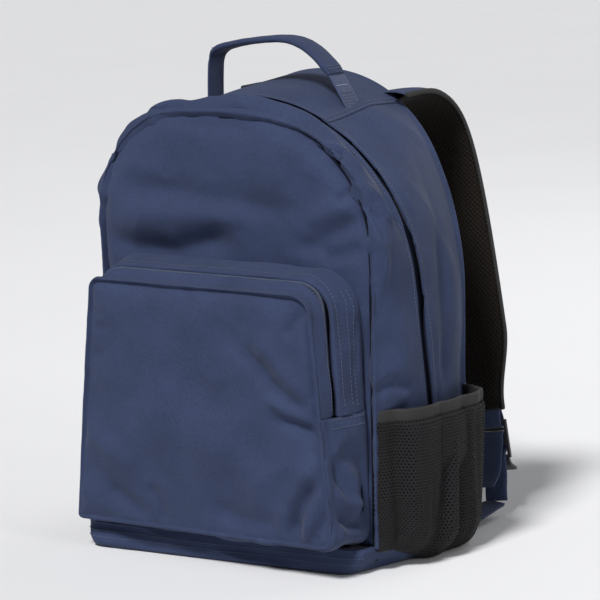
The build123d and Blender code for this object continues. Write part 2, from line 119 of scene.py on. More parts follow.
def loft(stations, steps):
    """Smooth rows through the stations (Catmull-Rom), steps rows in each gap."""
    s = np.array(stations, float)
    s = np.concatenate([2 * s[:1] - s[1:2], s, 2 * s[-1:] - s[-2:-1]])
    rows = []
    for k in range(1, len(s) - 2):
        count = steps[k - 1] if isinstance(steps, list) else steps
        a, b, c, d = s[k - 1 : k + 3]
        for t in np.arange(count) / count:
            bend = (2 * a - 5 * b + 4 * c - d) * t**2 + (3 * b - a - 3 * c + d) * t**3
            rows.append(0.5 * (2 * b + (c - a) * t + bend))
    rows.append(s[-2])
    return np.array(rows)


def smooth_line(points, count):
    """Evenly spaced points on a smooth curve through the given ones."""
    return resample(loft(points, 24), count)


def normalised(vectors):
    return vectors / np.maximum(np.linalg.norm(vectors, axis=-1, keepdims=True), 1e-9)


def left_of(directions):
    """Unit normals to the left of directions in a plane."""
    ahead = normalised(directions)
    return np.stack([-ahead[:, 1], ahead[:, 0]], 1)


def closed(line):
    """The line with its first point again at its end."""
    return np.vstack([line, line[:1]])


def upright(plane, y):
    """Points (x, z) in space, at a depth y."""
    return np.stack([plane[:, 0], np.zeros(len(plane)) + y, plane[:, 1]], 1)


def in_line(values):
    """Points in a row, for noise that runs along a seam."""
    return np.stack([values, values * 0, values * 0], -1)


def bump(s, middle, width):
    """Smooth hill of height 1."""
    return np.exp(-(((s - middle) / width) ** 2))


def ramp(value, width):
    """From 0 to 1 as the value goes from 0 to a width."""
    return np.clip(value / width, 0, 1)


def eased(t):
    return t * t * (3 - 2 * t)


def arch_line(shape, count=ARCH_POINTS):
    """Points (x, z) of an arch from its left foot over the top to its right foot."""
    half, top, shoulder, crown = shape
    crown_z, corner_x, gap = top - crown, half - shoulder, crown - shoulder
    if abs(gap) < 1e-4:
        bend, corner_z = math.pi / 4, crown_z
    else:
        rise = math.sqrt(gap**2 - corner_x**2)
        bend = math.atan2(rise, abs(corner_x))
        corner_z = crown_z + math.copysign(rise, gap)
    over = np.linspace(math.pi / 2, bend, 200)
    side = np.linspace(bend, 0, 200)[1:]
    points = [(crown * math.cos(a), crown_z + crown * math.sin(a)) for a in over]
    points += [(corner_x + shoulder * math.cos(a), corner_z + shoulder * math.sin(a)) for a in side]
    points.append((half, RIM))
    right = np.array(points)
    left = right[::-1] * [-1, 1]
    return resample(np.vstack([left[:-1], right]), count)


def outward(line):
    """Unit normals of an open arch line (x, z), pointing out of it."""
    return left_of(np.gradient(line, axis=0))


ARCH_S = np.linspace(0, 1, ARCH_POINTS)
SHOULDER = bump(ARCH_S, 0.375, 0.075)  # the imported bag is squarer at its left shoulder


def zip_y(height):
    """Depth of the main zip's leaning plane at a height."""
    return BACK_Y - ZIP_SETBACK - height * math.tan(ZIP_TILT)


def station(shape, push, y):
    """Arch line in space, pushed outwards; the zip's arch counts y forward from its leaning plane."""
    line = arch_line(shape)
    line = line + outward(line) * (np.zeros(len(line)) + push)[:, None]
    if shape is ZIP_ARCH:
        height = line[:, 1] * math.cos(ZIP_TILT)
        return np.stack([line[:, 0], zip_y(height) - y, height], 1)
    return upright(line, y)


def between(a, b, share, push=0.0):
    """Row a share of the way from one station to another, pushed outwards."""
    row = a + (b - a) * share
    out = outward(row[:, [0, 2]]) * (np.zeros(len(row)) + push)[:, None]
    row[:, 0] += out[:, 0]
    row[:, 2] += out[:, 1]
    return row


def grid_normals(grid):
    along, across = np.gradient(grid, axis=0), np.gradient(grid, axis=1)
    return normalised(np.cross(across, along))


def raised(grid, height):
    """The grid moved along its normals by a height for each point."""
    return grid + grid_normals(grid) * height[:, :, None]


def grid_faces(rows, cols, wrap=False):
    """Four-sided faces between the points of a grid; wrap joins its last column to its first."""
    faces = []
    for r in range(rows - 1):
        for c in range(cols if wrap else cols - 1):
            d = (c + 1) % cols
            faces.append((r * cols + c, r * cols + d, (r + 1) * cols + d, (r + 1) * cols + c))
    return faces


def fractal(points, size, seed, stretch=(1, 1, 1)):
    """Smooth noise from about -1 to 1 at each point; size is the length of a wave."""
    shape = np.asarray(points).shape[:-1]
    flat = np.asarray(points).reshape(-1, 3) * np.asarray(stretch) / size
    shift = Vector((seed * 7.3, seed * 3.1, seed * 5.7))
    return np.array([noise.noise(Vector(p) + shift) for p in flat]).reshape(shape)


def crumple(points, size, seed, stretch=(1, 1, 1)):
    """Sharp creases between soft cushions, from about -1 to 1."""
    return 1 - 4 * np.abs(fractal(points, size, seed, stretch))


def fold(uv, path, height, width, fade=0.25):
    """Ridge (or valley, where height is negative) along a path, fading at both ends; in millimetres."""
    path = np.asarray(path, float)
    run = lengths(path)
    best, place = np.full(uv.shape[:-1], 1e9), np.zeros(uv.shape[:-1])
    for k in range(len(path) - 1):
        step = path[k + 1] - path[k]
        t = np.clip(((uv - path[k]) @ step) / (step @ step), 0, 1)
        gap = np.linalg.norm(uv - path[k] - t[..., None] * step, axis=-1)
        near = gap < best
        best[near] = gap[near]
        place[near] = ((run[k] + t * np.linalg.norm(step)) / run[-1])[near]
    ends = ramp(np.minimum(place, 1 - place), fade)
    return height * bump(best, 0, width) * (0.15 + 0.85 * eased(ends))


def folds(uv, creases):
    """Sum of several folds: (path, height, width) each."""
    return sum(fold(uv, *crease) for crease in creases)


def edge_gap(points, outline):
    """Distance of each point from a closed outline."""
    best = np.full(points.shape[:-1], 1e9)
    for a, b in zip(outline, np.roll(outline, -1, axis=0)):
        step = b - a
        t = np.clip(((points - a) @ step) / max(step @ step, 1e-12), 0, 1)
        best = np.minimum(best, np.linalg.norm(points - a - t[..., None] * step, axis=-1))
    return best


def inside(points, outline):
    """Which points are inside a closed outline."""
    found = np.zeros(len(points), bool)
    x, y = points[:, 0], points[:, 1]
    for (ax, ay), (bx, by) in zip(outline, np.roll(outline, -1, axis=0)):
        crosses = (ay > y) != (by > y)
        at = ax + (y - ay) * (bx - ax) / np.where(by == ay, 1e-12, by - ay)
        found ^= crosses & (x < at)
    return found


RINGS = (0.8 * MM, 1.8 * MM, 3.0 * MM, 4.4 * MM, 6.0 * MM, 7.8 * MM)  # rows of points beside a sewn edge


def inset(outline, gap):
    """Closed outline moved inwards."""
    after = np.roll(outline, -1, axis=0)
    normal = left_of(after - np.roll(outline, 1, axis=0))
    turn = (outline[:, 0] * after[:, 1] - after[:, 0] * outline[:, 1]).sum()
    return outline + normal * gap * math.copysign(1, turn)


def triangulated(outline, spacing):
    """Even triangles inside a closed outline of (x, z) points, finer along its edge: points and faces."""
    count = max(8, int(lengths(closed(outline))[-1] / (0.7 * spacing)))
    outline = resample(closed(outline), count + 1)[:-1]
    low, high = outline.min(0), outline.max(0)
    inner = []
    for r, height in enumerate(np.arange(low[1], high[1], spacing * math.sqrt(0.75))):
        x = np.arange(low[0] + spacing / 2 * (r % 2), high[0], spacing)
        inner.append(np.stack([x, np.full(len(x), height)], 1))
    inner = np.vstack(inner)
    inner = inner[inside(inner, outline)]
    inner = inner[edge_gap(inner, outline) > RINGS[-1] + 0.6 * spacing]
    edge = []
    for gap in RINGS:
        ring = inset(outline, gap)
        edge.append(ring[edge_gap(ring, outline) > 0.9 * gap])
    points = np.vstack([outline, *edge, inner])
    rim = [(i, (i + 1) % count) for i in range(count)]
    made = delaunay_2d_cdt([Vector(p) for p in points], rim, [], 1, 1e-7)
    return np.array([tuple(p) for p in made[0]]), [tuple(f) for f in made[2]]


def rounded(corners, radii, steps):
    """Closed outline of a polygon whose corners are rounded."""
    corners = np.asarray(corners, float)
    line = []
    befores, afters = np.roll(corners, 1, axis=0), np.roll(corners, -1, axis=0)
    for before, corner, after, radius in zip(befores, corners, afters, radii):
        a, b = normalised(before - corner), normalised(after - corner)
        half = math.acos(np.clip(a @ b, -1, 1)) / 2
        middle = normalised(a + b)
        centre = corner + middle * radius / math.sin(half)
        start = corner + a * radius / math.tan(half) - centre
        end = corner + b * radius / math.tan(half) - centre
        for t in np.linspace(0, 1, steps):
            p = start * (1 - t) + end * t
            line.append(centre + normalised(p) * radius)
    return np.array(line)


# --- objects -------------------------------------------------------------------------------------
def placed(name, data):
    """A new object in the scene."""
    thing = bpy.data.objects.new(name, data)
    bpy.context.scene.collection.objects.link(thing)
    return thing


def make(name, points, faces, body, material, slot, nodes=(), thickness=0.0, subdivide=0):
    """A piece from points and faces, riding on a body; thickness grows inwards."""
    mesh = bpy.data.meshes.new(name)
    mesh.from_pydata([tuple(p) for p in np.asarray(points).reshape(-1, 3)], [], faces)
    mesh.validate()
    piece = placed(name, mesh)
    mesh.shade_smooth()
    mesh.materials.append(material)
    if subdivide:
        smooth = piece.modifiers.new("Smooth", "SUBSURF")
        smooth.levels = smooth.render_levels = subdivide
    if thickness:
        solid = piece.modifiers.new("Cloth thickness", "SOLIDIFY")
        solid.thickness, solid.offset = thickness, -1
    if body:
        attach(piece, body)
    if nodes:
        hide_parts(*nodes)
    return piece


def navy_cloth(name, points, faces, node, thickness=CLOTH, subdivide=0):
    """A sewn panel of the bag, in place of a CAD node."""
    make(name, points, faces, "bag", POLYESTER, "navy_polyester", [node], thickness, subdivide)


def navy_grid(name, grid, node, thickness=CLOTH):
    navy_cloth(name, grid, grid_faces(*grid.shape[:2]), node, thickness, 1)


def fitted(outline, spacing, depth):
    """Points and faces of a panel whose depth comes from a function of its (x, z) points."""
    flat, faces = triangulated(outline, spacing)
    return upright(flat, depth(flat, outline)), faces


def tube(line, width, height, up, sides=10, power=2.0):
    """Rows of a closed section that follows a line; up is the direction of its height at each point."""
    line = np.asarray(line, float)
    tangent = normalised(np.gradient(line, axis=0))
    side = normalised(np.cross(tangent, np.broadcast_to(np.asarray(up, float), line.shape)))
    up = np.cross(side, tangent)
    angle = np.arange(sides) * 2 * math.pi / sides
    a, b = (np.sign(q) * np.abs(q) ** (2 / power) for q in (np.cos(angle), np.sin(angle)))
    width, height = np.zeros(len(line)) + width, np.zeros(len(line)) + height
    across = (width / 2)[:, None, None] * a[None, :, None] * side[:, None, :]
    upwards = (height / 2)[:, None, None] * b[None, :, None] * up[:, None, :]
    return line[:, None, :] + across + upwards


def capped(grid):
    """Points and faces of a closed tube with flat ends."""
    rows, cols = grid.shape[:2]
    faces = grid_faces(rows, cols, True)
    faces.append(tuple(range(cols - 1, -1, -1)))
    faces.append(tuple((rows - 1) * cols + c for c in range(cols)))
    return grid.reshape(-1, 3), faces


def joined(parts):
    """Several (points, faces) as one."""
    points, faces, start = [], [], 0
    for p, f in parts:
        points.append(np.asarray(p).reshape(-1, 3))
        faces += [tuple(i + start for i in face) for face in f]
        start += len(points[-1])
    return np.vstack(points), faces


def grid_row(grid, row, low=None, high=None):
    """A row of a grid with its normals, for stitches; low and high pick its columns."""
    normals = grid_normals(grid)[row, low:high]
    return grid[row, low:high] + normals * SEWN_LIFT, normals


def grid_column(grid, column, low, high):
    """A column of a grid with its normals, for stitches; low and high pick its rows."""
    normals = grid_normals(grid)[low:high, column]
    return grid[low:high, column] + normals * SEWN_LIFT, normals


def stitches(name, lines, body, material, slot="navy_polyester", length=STITCH):
    """Rows of thread; each line comes with the surface's normals along it."""
    lift = np.array([-0.3, 0.1, 0.25, 0.1, -0.3]) * MM
    size = THREAD * np.array([0.5, 0.95, 1.0, 0.95, 0.5])
    parts = []
    for line, normals in lines:
        run = lengths(line)
        normals = np.broadcast_to(np.asarray(normals, float), line.shape)
        for start in np.arange(0.5 * MM, run[-1] - length, length + STITCH_GAP):
            at = start + length * np.array([0, 0.15, 0.5, 0.85, 1])
            p, n = at_lengths(line, run, at), at_lengths(normals, run, at)
            parts.append(capped(tube(p + n * lift[:, None], size, size * 0.8, n, 6)))
    points, faces = joined(parts)
    return make(name, points, faces, body, material, slot)


# --- materials -----------------------------------------------------------------------------------
class Surface:
    """A material being built: its nodes are added one after another."""

    def __init__(self, name, roughness, sheen=0.0, specular=0.5, metallic=0.0):
        self.material = bpy.data.materials.new(name)
        self.material.use_nodes = True
        self.tree = self.material.node_tree
        self.shader = self.tree.nodes["Principled BSDF"]
        self.shader.inputs["Roughness"].default_value = roughness
        self.shader.inputs["Specular IOR Level"].default_value = specular
        self.shader.inputs["Sheen Weight"].default_value = sheen
        self.shader.inputs["Sheen Roughness"].default_value = 0.45
        self.shader.inputs["Metallic"].default_value = metallic
        self.place = self.tree.nodes.new("ShaderNodeTexCoord")

    def add(self, kind, inputs, **settings):
        node = self.tree.nodes.new(kind)
        for key, value in settings.items():
            setattr(node, key, value)
        for key, value in inputs.items():
            if isinstance(value, bpy.types.NodeSocket):
                self.tree.links.new(value, node.inputs[key])
            else:
                node.inputs[key].default_value = value
        return node

    def math(self, operation, a, b=0.0):
        return self.add("ShaderNodeMath", {0: a, 1: b}, operation=operation).outputs[0]

    def vector(self, operation, a, b=(0.0, 0.0, 0.0)):
        return self.add("ShaderNodeVectorMath", {0: a, 1: b}, operation=operation)

    def noise(self, scale, detail):
        inputs = {"Vector": self.place.outputs["Object"], "Scale": scale, "Detail": detail}
        return self.add("ShaderNodeTexNoise", inputs).outputs["Fac"]

    def weave(self, pitch):
        """Over-and-under pattern from -1 to 1, laid on each side of the object in turn."""
        wave = self.vector("SCALE", self.place.outputs["Object"])
        wave.inputs["Scale"].default_value = math.pi / pitch
        sine = self.vector("SINE", wave.outputs[0]).outputs[0]
        part = self.add("ShaderNodeSeparateXYZ", {0: sine}).outputs
        pairs = [self.math("MULTIPLY", part[a], part[b]) for a, b in ((1, 2), (0, 2), (0, 1))]
        pattern = self.add("ShaderNodeCombineXYZ", {0: pairs[0], 1: pairs[1], 2: pairs[2]}).outputs[0]
        normal = self.place.outputs["Normal"]
        share = self.vector("MULTIPLY", normal, normal).outputs[0]
        return self.vector("DOT_PRODUCT", pattern, share).outputs["Value"]

    def colour(self, stops, factor):
        """Colour from a factor of 0 to 1."""
        node = self.add("ShaderNodeValToRGB", {"Fac": factor})
        shades = node.color_ramp.elements
        shades[0].color, shades[1].color = (*stops[0], 1), (*stops[-1], 1)
        for k, stop in enumerate(stops[1:-1], 1):
            shades.new(k / (len(stops) - 1)).color = (*stop, 1)
        self.tree.links.new(node.outputs["Color"], self.shader.inputs["Base Color"])

    def relief(self, layers):
        """Bumps one on another: (height, distance) each."""
        under = {}
        for height, distance in layers:
            inputs = {"Height": height, "Distance": distance, "Strength": 1.0, **under}
            under = {"Normal": self.add("ShaderNodeBump", inputs).outputs["Normal"]}
        self.tree.links.new(under["Normal"], self.shader.inputs["Normal"])

    def unit(self, value):
        """A value from -1 to 1 as one from 0 to 1."""
        return self.add("ShaderNodeMapRange", {0: value, 1: -1.0, 2: 1.0, 3: 0.0, 4: 1.0}).outputs[0]


def tinted(colour, scale):
    return tuple(c * scale for c in colour)


def cloth(name, colour, pitch, depth, roughness=0.78, sheen=0.12, specular=0.32, contrast=0.16):
    """Woven cloth: threads over and under, slightly uneven, with a few rubbed and dusty places."""
    s = Surface(name, roughness, sheen, specular)
    weave = s.unit(s.weave(pitch))
    thread = s.noise(620.0, 3.0)
    wear = s.noise(22.0, 5.0)
    shade = s.math("ADD", s.math("MULTIPLY", weave, 0.35), s.math("MULTIPLY", thread, 0.55))
    shade = s.math("ADD", shade, s.math("MULTIPLY", wear, 0.45))
    shade = s.math("SUBTRACT", shade, 0.18)
    s.colour([tinted(colour, 1 - contrast), colour, tinted(colour, 1 + contrast)], shade)
    s.relief([(weave, depth), (thread, depth * 0.7), (s.noise(110.0, 3.0), 0.5 * MM)])
    rough = s.math("ADD", s.math("MULTIPLY", wear, 0.14), roughness - 0.07)
    s.tree.links.new(rough, s.shader.inputs["Roughness"])
    return s.material


NAVY = (0.030, 0.043, 0.094)
POLYESTER = cloth("navy woven polyester", NAVY, 1.1 * MM, 0.2 * MM, 0.86, 0.06, 0.2, 0.62)
WEBBING = cloth("navy webbing", (0.036, 0.052, 0.115), 1.5 * MM, 0.28 * MM, roughness=0.7, contrast=0.3)
THREAD_NAVY = cloth("navy thread", (0.072, 0.092, 0.155), 0.4 * MM, 0.05 * MM, roughness=0.6)
THREAD_PALE = cloth("pale thread", (0.34, 0.37, 0.45), 0.4 * MM, 0.05 * MM, roughness=0.6)
BLACK = (0.022, 0.022, 0.022)
BINDING = cloth("black elastic binding", BLACK, 1.6 * MM, 0.4 * MM, sheen=0.04, contrast=0.6)
NET = cloth("grey knitted net", (0.060, 0.060, 0.058), 0.5 * MM, 0.05 * MM, roughness=0.6, contrast=0.2)
# Near-black second net inside the side pockets: a sheet of painted shade for the dark hollow behind the
# mesh.
NET_PAINTED_SHADE = cloth("black net of painted shade", (0.006, 0.006, 0.007), 0.5 * MM, 0.05 * MM, roughness=0.8, sheen=0.0)
SPACER = cloth("black spacer mesh", (0.0085, 0.0062, 0.0048), 2.4 * MM, 0.8 * MM, 0.85, 0.0, 0.18, 0.9)
LINING = cloth("grey lining", (0.05, 0.05, 0.056), 0.6 * MM, 0.05 * MM)
# Zip tape painted nearly black: painted shade for the dark slit between the main zip's lips. The seam tape
# gets the same colour.
TAPE_PAINTED_SHADE = cloth("zip tape darkened as painted shade", (0.006, 0.008, 0.018), 0.6 * MM, 0.08 * MM, sheen=0.0, specular=0.15)


def moulded(name, colour, roughness):
    s = Surface(name, roughness, specular=0.45)
    s.colour([tinted(colour, 0.85), tinted(colour, 1.2)], s.noise(60.0, 4.0))
    s.relief([(s.noise(1400.0, 2.0), 0.05 * MM)])
    return s.material


PLASTIC = moulded("black moulded plastic", (0.03, 0.03, 0.032), 0.42)
# Main zip's coil painted near black: painted shade for the teeth down in the slit between its lips.
NYLON_PAINTED_SHADE = moulded("navy nylon coil", (0.018, 0.023, 0.045), 0.38)
# Pocket zip's coil painted pale: painted highlight where the coil catches the light along the pocket's top.
NYLON_PAINTED_HIGHLIGHT = moulded("pale nylon coil", (0.09, 0.11, 0.17), 0.38)
FOAM = moulded("closed-cell foam", (0.25, 0.25, 0.25), 0.9)


def lacquered(name, colour):
    s = Surface(name, 0.35, specular=0.5, metallic=0.6)
    s.colour([tinted(colour, 0.8), tinted(colour, 1.5)], s.noise(240.0, 4.0))
    s.relief([(s.noise(900.0, 2.0), 0.02 * MM)])
    return s.material


METAL = lacquered("dark lacquered metal", (0.05, 0.05, 0.056))


# --- main compartment ----------------------------------------------------------------------------
FRONT_PUSH = SHOULDER * 11 * MM
ZIP_PUSH = SHOULDER * 4 * MM
ZIP_SIDE = ramp(ARCH_S - 0.60, 0.18)  # the zip gapes down the right side
ZIP_OPEN = (0.5 + 2.6 * eased(ZIP_SIDE) + 1.6 * bump(ARCH_S, 0.44, 0.05)) * MM
RUN = ARCH_S * 0.98  # about the length along the arch, metres


def puckers(run, seed, size=13 * MM):
    """Uneven gathers along a seam, from -1 to 1."""
    flat = in_line(run / size)
    return 0.7 * fractal(flat, 1.0, seed) + 0.5 * fractal(flat * 2.3, 1.0, seed + 1)


def front_row(push, y):
    """Row along the front seam, pushed outwards and set back, in millimetres."""
    return station(FRONT_ARCH, push * MM + FRONT_PUSH, FRONT_Y + y * MM)


def zip_row(push, y):
    """Row along the main zip, pushed outwards and y forward of the zip's plane, in millimetres."""
    forward = math.copysign(1, y) * ZIP_OPEN + y * MM
    row = station(ZIP_ARCH, push * MM + ZIP_PUSH, 0)
    row[:, 1] -= forward
    return row


def rear_row(push, y):
    """Row along the back seam, pushed outwards and set back, in millimetres."""
    return station(REAR_ARCH, push * MM, BACK_Y + y * MM)


def seam_depth(grid, row):
    """Distance in millimetres of each point of a grid from one of its rows, along its columns."""
    step = np.linalg.norm(np.diff(grid, axis=0), axis=2)
    run = np.vstack([np.zeros(grid.shape[1]), np.cumsum(step, axis=0)])
    return np.abs(run - run[row]) / MM


FRONT_GUSSET_STEPS = [2, 2, 2, 2, 5, 6, 6, 5, 3, 2, 2, 2, 2]
FRONT_GUSSET_FOLDS = [  # (along the seam, away from it)
    ([(648, 4), (662, 18), (690, 27)], 2.6, 4.5),
    ([(655, 0), (678, 10), (708, 14)], -2.4, 3.2),
    ([(690, 3), (712, 12), (735, 16)], 1.8, 4.0),
    ([(596, 2), (610, 14), (640, 20)], 1.6, 4.5),
    ([(604, 0), (620, 8)], -1.8, 3.0),
    ([(300, 4), (322, 16), (352, 22)], 1.8, 5.0),
    ([(338, 0), (352, 14), (374, 18)], -2.2, 3.6),
    ([(392, 2), (410, 14), (440, 16)], 1.6, 5.0),
    ([(835, 2), (828, 22), (838, 48)], -2.0, 6.0),
    ([(872, 2), (862, 26), (850, 44)], -1.6, 7.0),
]


def front_gusset():
    """Gusset in front of the main zip: rolled and gathered at the front seam, turned in at the zip."""
    front, lip = front_row(2.2, 3.5), zip_row(0.8, 9)
    rolled = ((-3.0, 4.0), (-0.8, 0.8), (1.6, -1.8), (3.8, -0.6), (4.0, 4.0))
    full = ((0.28, 3.4, 2), (0.55, 4.6, 3), (0.8, 2.6, 2))
    turned_in = ((1.0, 3.4), (-0.2, 1.8), (-1.5, 3.8), (-3.2, 6.4), (-4.0, 10.0))
    rows = [front_row(*at) for at in rolled]
    rows += [between(front, lip, share, (rise + more * SHOULDER) * MM) for share, rise, more in full]
    rows += [lip] + [zip_row(*at) for at in turned_in]
    grid = loft(rows, FRONT_GUSSET_STEPS)
    seam, mouth = seam_depth(grid, 4), seam_depth(grid, sum(FRONT_GUSSET_STEPS[:9]))
    deep = 1.2 + 3.0 * bump(ARCH_S, 0.69, 0.06) + 2.2 * bump(ARCH_S, 0.36, 0.06)
    gathers = puckers(RUN, 3) * deep * np.exp(-((seam / 13) ** 1.5))
    collapse = 8.0 * bump(ARCH_S, 0.71, 0.055) + 5.0 * bump(ARCH_S, 0.37, 0.05)
    gathers += collapse * (0.7 * bump(seam, 12, 8) - bump(seam, 0, 5.5))
    lips = puckers(RUN, 8, 45 * MM) * 1.6 * bump(mouth, 0, 16)
    soft = fractal(grid, 62 * MM, 5) * 6.0 * ramp(seam, 14) * ramp(mouth, 10)
    small = crumple(grid, 46 * MM, 6, (1, 1, 0.7)) * 1.3 * ramp(seam, 8) * ramp(mouth, 10)
    along = np.broadcast_to(RUN / MM, seam.shape)
    creases = folds(np.stack([along, seam], -1), FRONT_GUSSET_FOLDS)
    height = gathers + lips + soft + small + 2.4 * creases
    height = np.clip(height, -9, 9 * ramp(mouth - 4, 15) - 0.5)  # flat beside the zip, for its pulls
    return raised(grid, height * MM)


def panel_outline():
    """Closed (x, z) outline of the front panel."""
    arch = station(FRONT_ARCH, FRONT_PUSH, FRONT_Y)[:, [0, 2]]
    return np.vstack([arch, [(x, RIM) for x in np.linspace(FRONT_HALF, -FRONT_HALF, 60)[1:-1]]])


FRONT_FOLDS = [
    ([(-150, 296), (-110, 284), (-62, 283), (-20, 296), (10, 306)], -4.2, 13),
    ([(-140, 322), (-80, 316), (-20, 322), (40, 318)], 3.0, 17),
    ([(-112, 343), (-70, 337), (0, 334), (45, 330), (90, 322)], -2.2, 13),
    ([(146, 330), (128, 316), (100, 300), (72, 293)], -2.6, 10),
    ([(148, 300), (126, 293), (96, 287)], -2.4, 9),
    ([(140, 346), (112, 330), (84, 320)], 1.8, 10),
    ([(134, 352), (120, 338)], -2.2, 5),
    ([(-40, 398), (-20, 372), (-10, 350)], -0.9, 16),
    ([(60, 392), (84, 380), (108, 366)], 1.2, 12),
    ([(-128, 366), (-100, 358), (-70, 360)], 1.3, 12),
    ([(-60, 408), (-30, 402), (40, 404)], -0.8, 8),
]


def front_panel_y(points, outline):
    """Depth of the front panel at (x, z) points: sewn down at its edge, stuffed full above the pocket."""
    gap = edge_gap(points, outline) / MM
    crown = 10.5 * (0.3 + 0.7 * eased(ramp(points[:, 1] / MM - 245, 60))) * (1 - np.exp(-gap / 26))
    place = upright(points, 0)
    angle = np.arctan2(points[:, 1] - 250 * MM, points[:, 0])
    deep = 1.4 + 3.4 * bump(angle, 0.75, 0.35) + 2.4 * bump(angle, 2.35, 0.3)
    gathers = fractal(in_line(angle * 11), 1.0, 12) * deep * np.exp(-((gap / 15) ** 1.4)) * ramp(gap, 3)
    soft = fractal(place, 75 * MM, 14) * 4.0 + crumple(place, 62 * MM, 15, (0.6, 1, 1)) * 1.3
    soft += crumple(place, 30 * MM, 17) * 0.45
    creases = folds(points / MM, FRONT_FOLDS)
    total = crown + gathers + (soft + 2.4 * creases) * ramp(gap, 12)
    sunk = 1.8 * bump(gap, 0, 2.2) + (3.0 + 8.0 * bump(angle, 0.72, 0.3)) * bump(gap, 0, 9)
    return FRONT_Y + (sunk - total) * MM


def portion(row, low, high, count):
    """The part of an arch row between two values of x, over the top."""
    run = lengths(row)
    ends = [0.0, run[-1]]
    for k, x in enumerate((low, high)):
        if x is not None:
            first = np.argmax(row[:, 0] >= x)
            ends[k] = np.interp(x, row[first - 1 : first + 1, 0], run[first - 1 : first + 1])
    return at_lengths(row, run, np.linspace(*ends, count))


REAR_STEPS = [2, 2, 2, 2, 3, 8, 8, 7, 4, 2, 2, 2]
FLAT_TOP = 1 - 0.85 * bump(ARCH_S, 0.5, 0.09)  # taut under the haul loop


def behind_zip(low, high, count, lift):
    """Cloth from the zip's rear lip to the back seam, between two values of x."""
    lip, back = zip_row(0.8 + lift, -9), rear_row(1.0 + lift, -6)
    turned_in = ((-4.0, -10.0), (-3.2, -6.4), (-1.5 + lift, -3.8), (-0.2 + lift, -1.8), (1.0 + lift, -3.4))
    full = ((0.3, 3.6), (0.62, 4.4), (0.88, 2.0))
    rolled = ((2.2 + lift, -1.4), (0.6 + lift, 1.2), (-4.0, 1.0))
    rows = [zip_row(*at) for at in turned_in] + [lip]
    rows += [between(lip, back, share, rise * MM * FLAT_TOP) for share, rise in full]
    rows += [back] + [rear_row(*at) for at in rolled]
    return loft([portion(row, low, high, count) for row in rows], REAR_STEPS)


def behind_zip_relief(grid):
    """Millimetres that this cloth stands out: little beside the zip, at the back seam and at the top."""
    seam, mouth = seam_depth(grid, -5), seam_depth(grid, 10)
    keep = ramp(seam, 12) * ramp(mouth, 8) * (1 - 0.9 * ramp(grid[:, :, 2] / MM - 412, 18))
    soft = fractal(grid, 70 * MM, 22) * 6.0 * keep
    small = crumple(grid, 60 * MM, 23, (1, 1, 0.5)) * 1.4 * keep
    ripples = fractal(grid, 11 * MM, 24) * 0.8 * bump(mouth, 0, 9)
    return np.clip(soft + small + ripples, -1.4, 0.5 + 6 * ramp(mouth - 5, 12))


REAR_GUSSET_FOLDS = [
    ([(-6, 330), (-8, 270), (-12, 200), (-14, 140)], -4.2, 9),
    ([(12, 300), (8, 230), (6, 160)], 1.8, 12),
    ([(-28, 310), (-34, 240), (-40, 170)], 1.4, 10),
    ([(30, 250), (36, 190), (38, 120)], -1.6, 12),
]


def rear_gusset(sign):
    """Gusset behind the main zip, down one side; it reaches a little under the yoke."""
    edge = YOKE_HALF - 7 * MM
    grid = behind_zip(edge, None, 190, 0.0) if sign > 0 else behind_zip(None, -edge, 190, 0.0)
    creases = folds(grid[:, :, [1, 2]] / MM, REAR_GUSSET_FOLDS)
    height = behind_zip_relief(grid) + creases * (grid[:, :, 2] < 345 * MM)
    return raised(grid, np.maximum(height, -4.5) * MM)


def back_outline(gap):
    """Closed (x, z) outline of the padded back, a gap inside its seam."""
    line = arch_line(REAR_ARCH)
    line = line - outward(line) * gap
    foot, half = 5 * MM + gap, line[-1, 0]
    line = np.vstack([[-half, foot + 12 * MM], line, [half, foot + 12 * MM]])
    return np.vstack([line, [(x, foot) for x in np.linspace(half - 10 * MM, -half + 10 * MM, 60)]])


BACK_CHANNELS = [
    [(-62, 40), (-54, 160), (-58, 300), (-50, 392)],
    [(62, 40), (54, 160), (58, 300), (50, 392)],
    [(-54, 118), (54, 118)],
    [(-56, 226), (56, 226)],
    [(-56, 330), (56, 330)],
]


def back_panel_y(points, outline):
    """Depth of the padded back at (x, z) points: quilted into pads by its sewn channels."""
    gap = edge_gap(points, outline) / MM
    crown = 7.5 * (1 - np.exp(-gap / 11))
    for channel in BACK_CHANNELS:
        crown += fold(points / MM, channel, -5.6, 5.5, 0.02)
    return BACK_Y + (crown + fractal(upright(points, 0), 40 * MM, 31) * 0.7 - 1.5) * MM


# --- base ----------------------------------------------------------------------------------------
def base_ring(height, inwards, lean=0.0):
    """Plan of the base at a height; its front reaches forward under the pocket, further on the left."""
    corners = [(-151, 51), (-170, -12), (-154, -108), (-149, -158 - lean)]
    corners += [(146, -133 - lean), (153, -108), (170, -12), (151, 51)]
    corners = np.array(corners) * MM
    middle = np.array([0, -50 * MM])
    corners += normalised(middle - corners) * inwards * MM
    plan = rounded(corners, [q * MM for q in (14, 90, 60, 16, 16, 40, 90, 14)], 12)
    plan = resample(closed(plan), 421)[:-1]
    return np.column_stack([plan, np.full(len(plan), height * MM)])


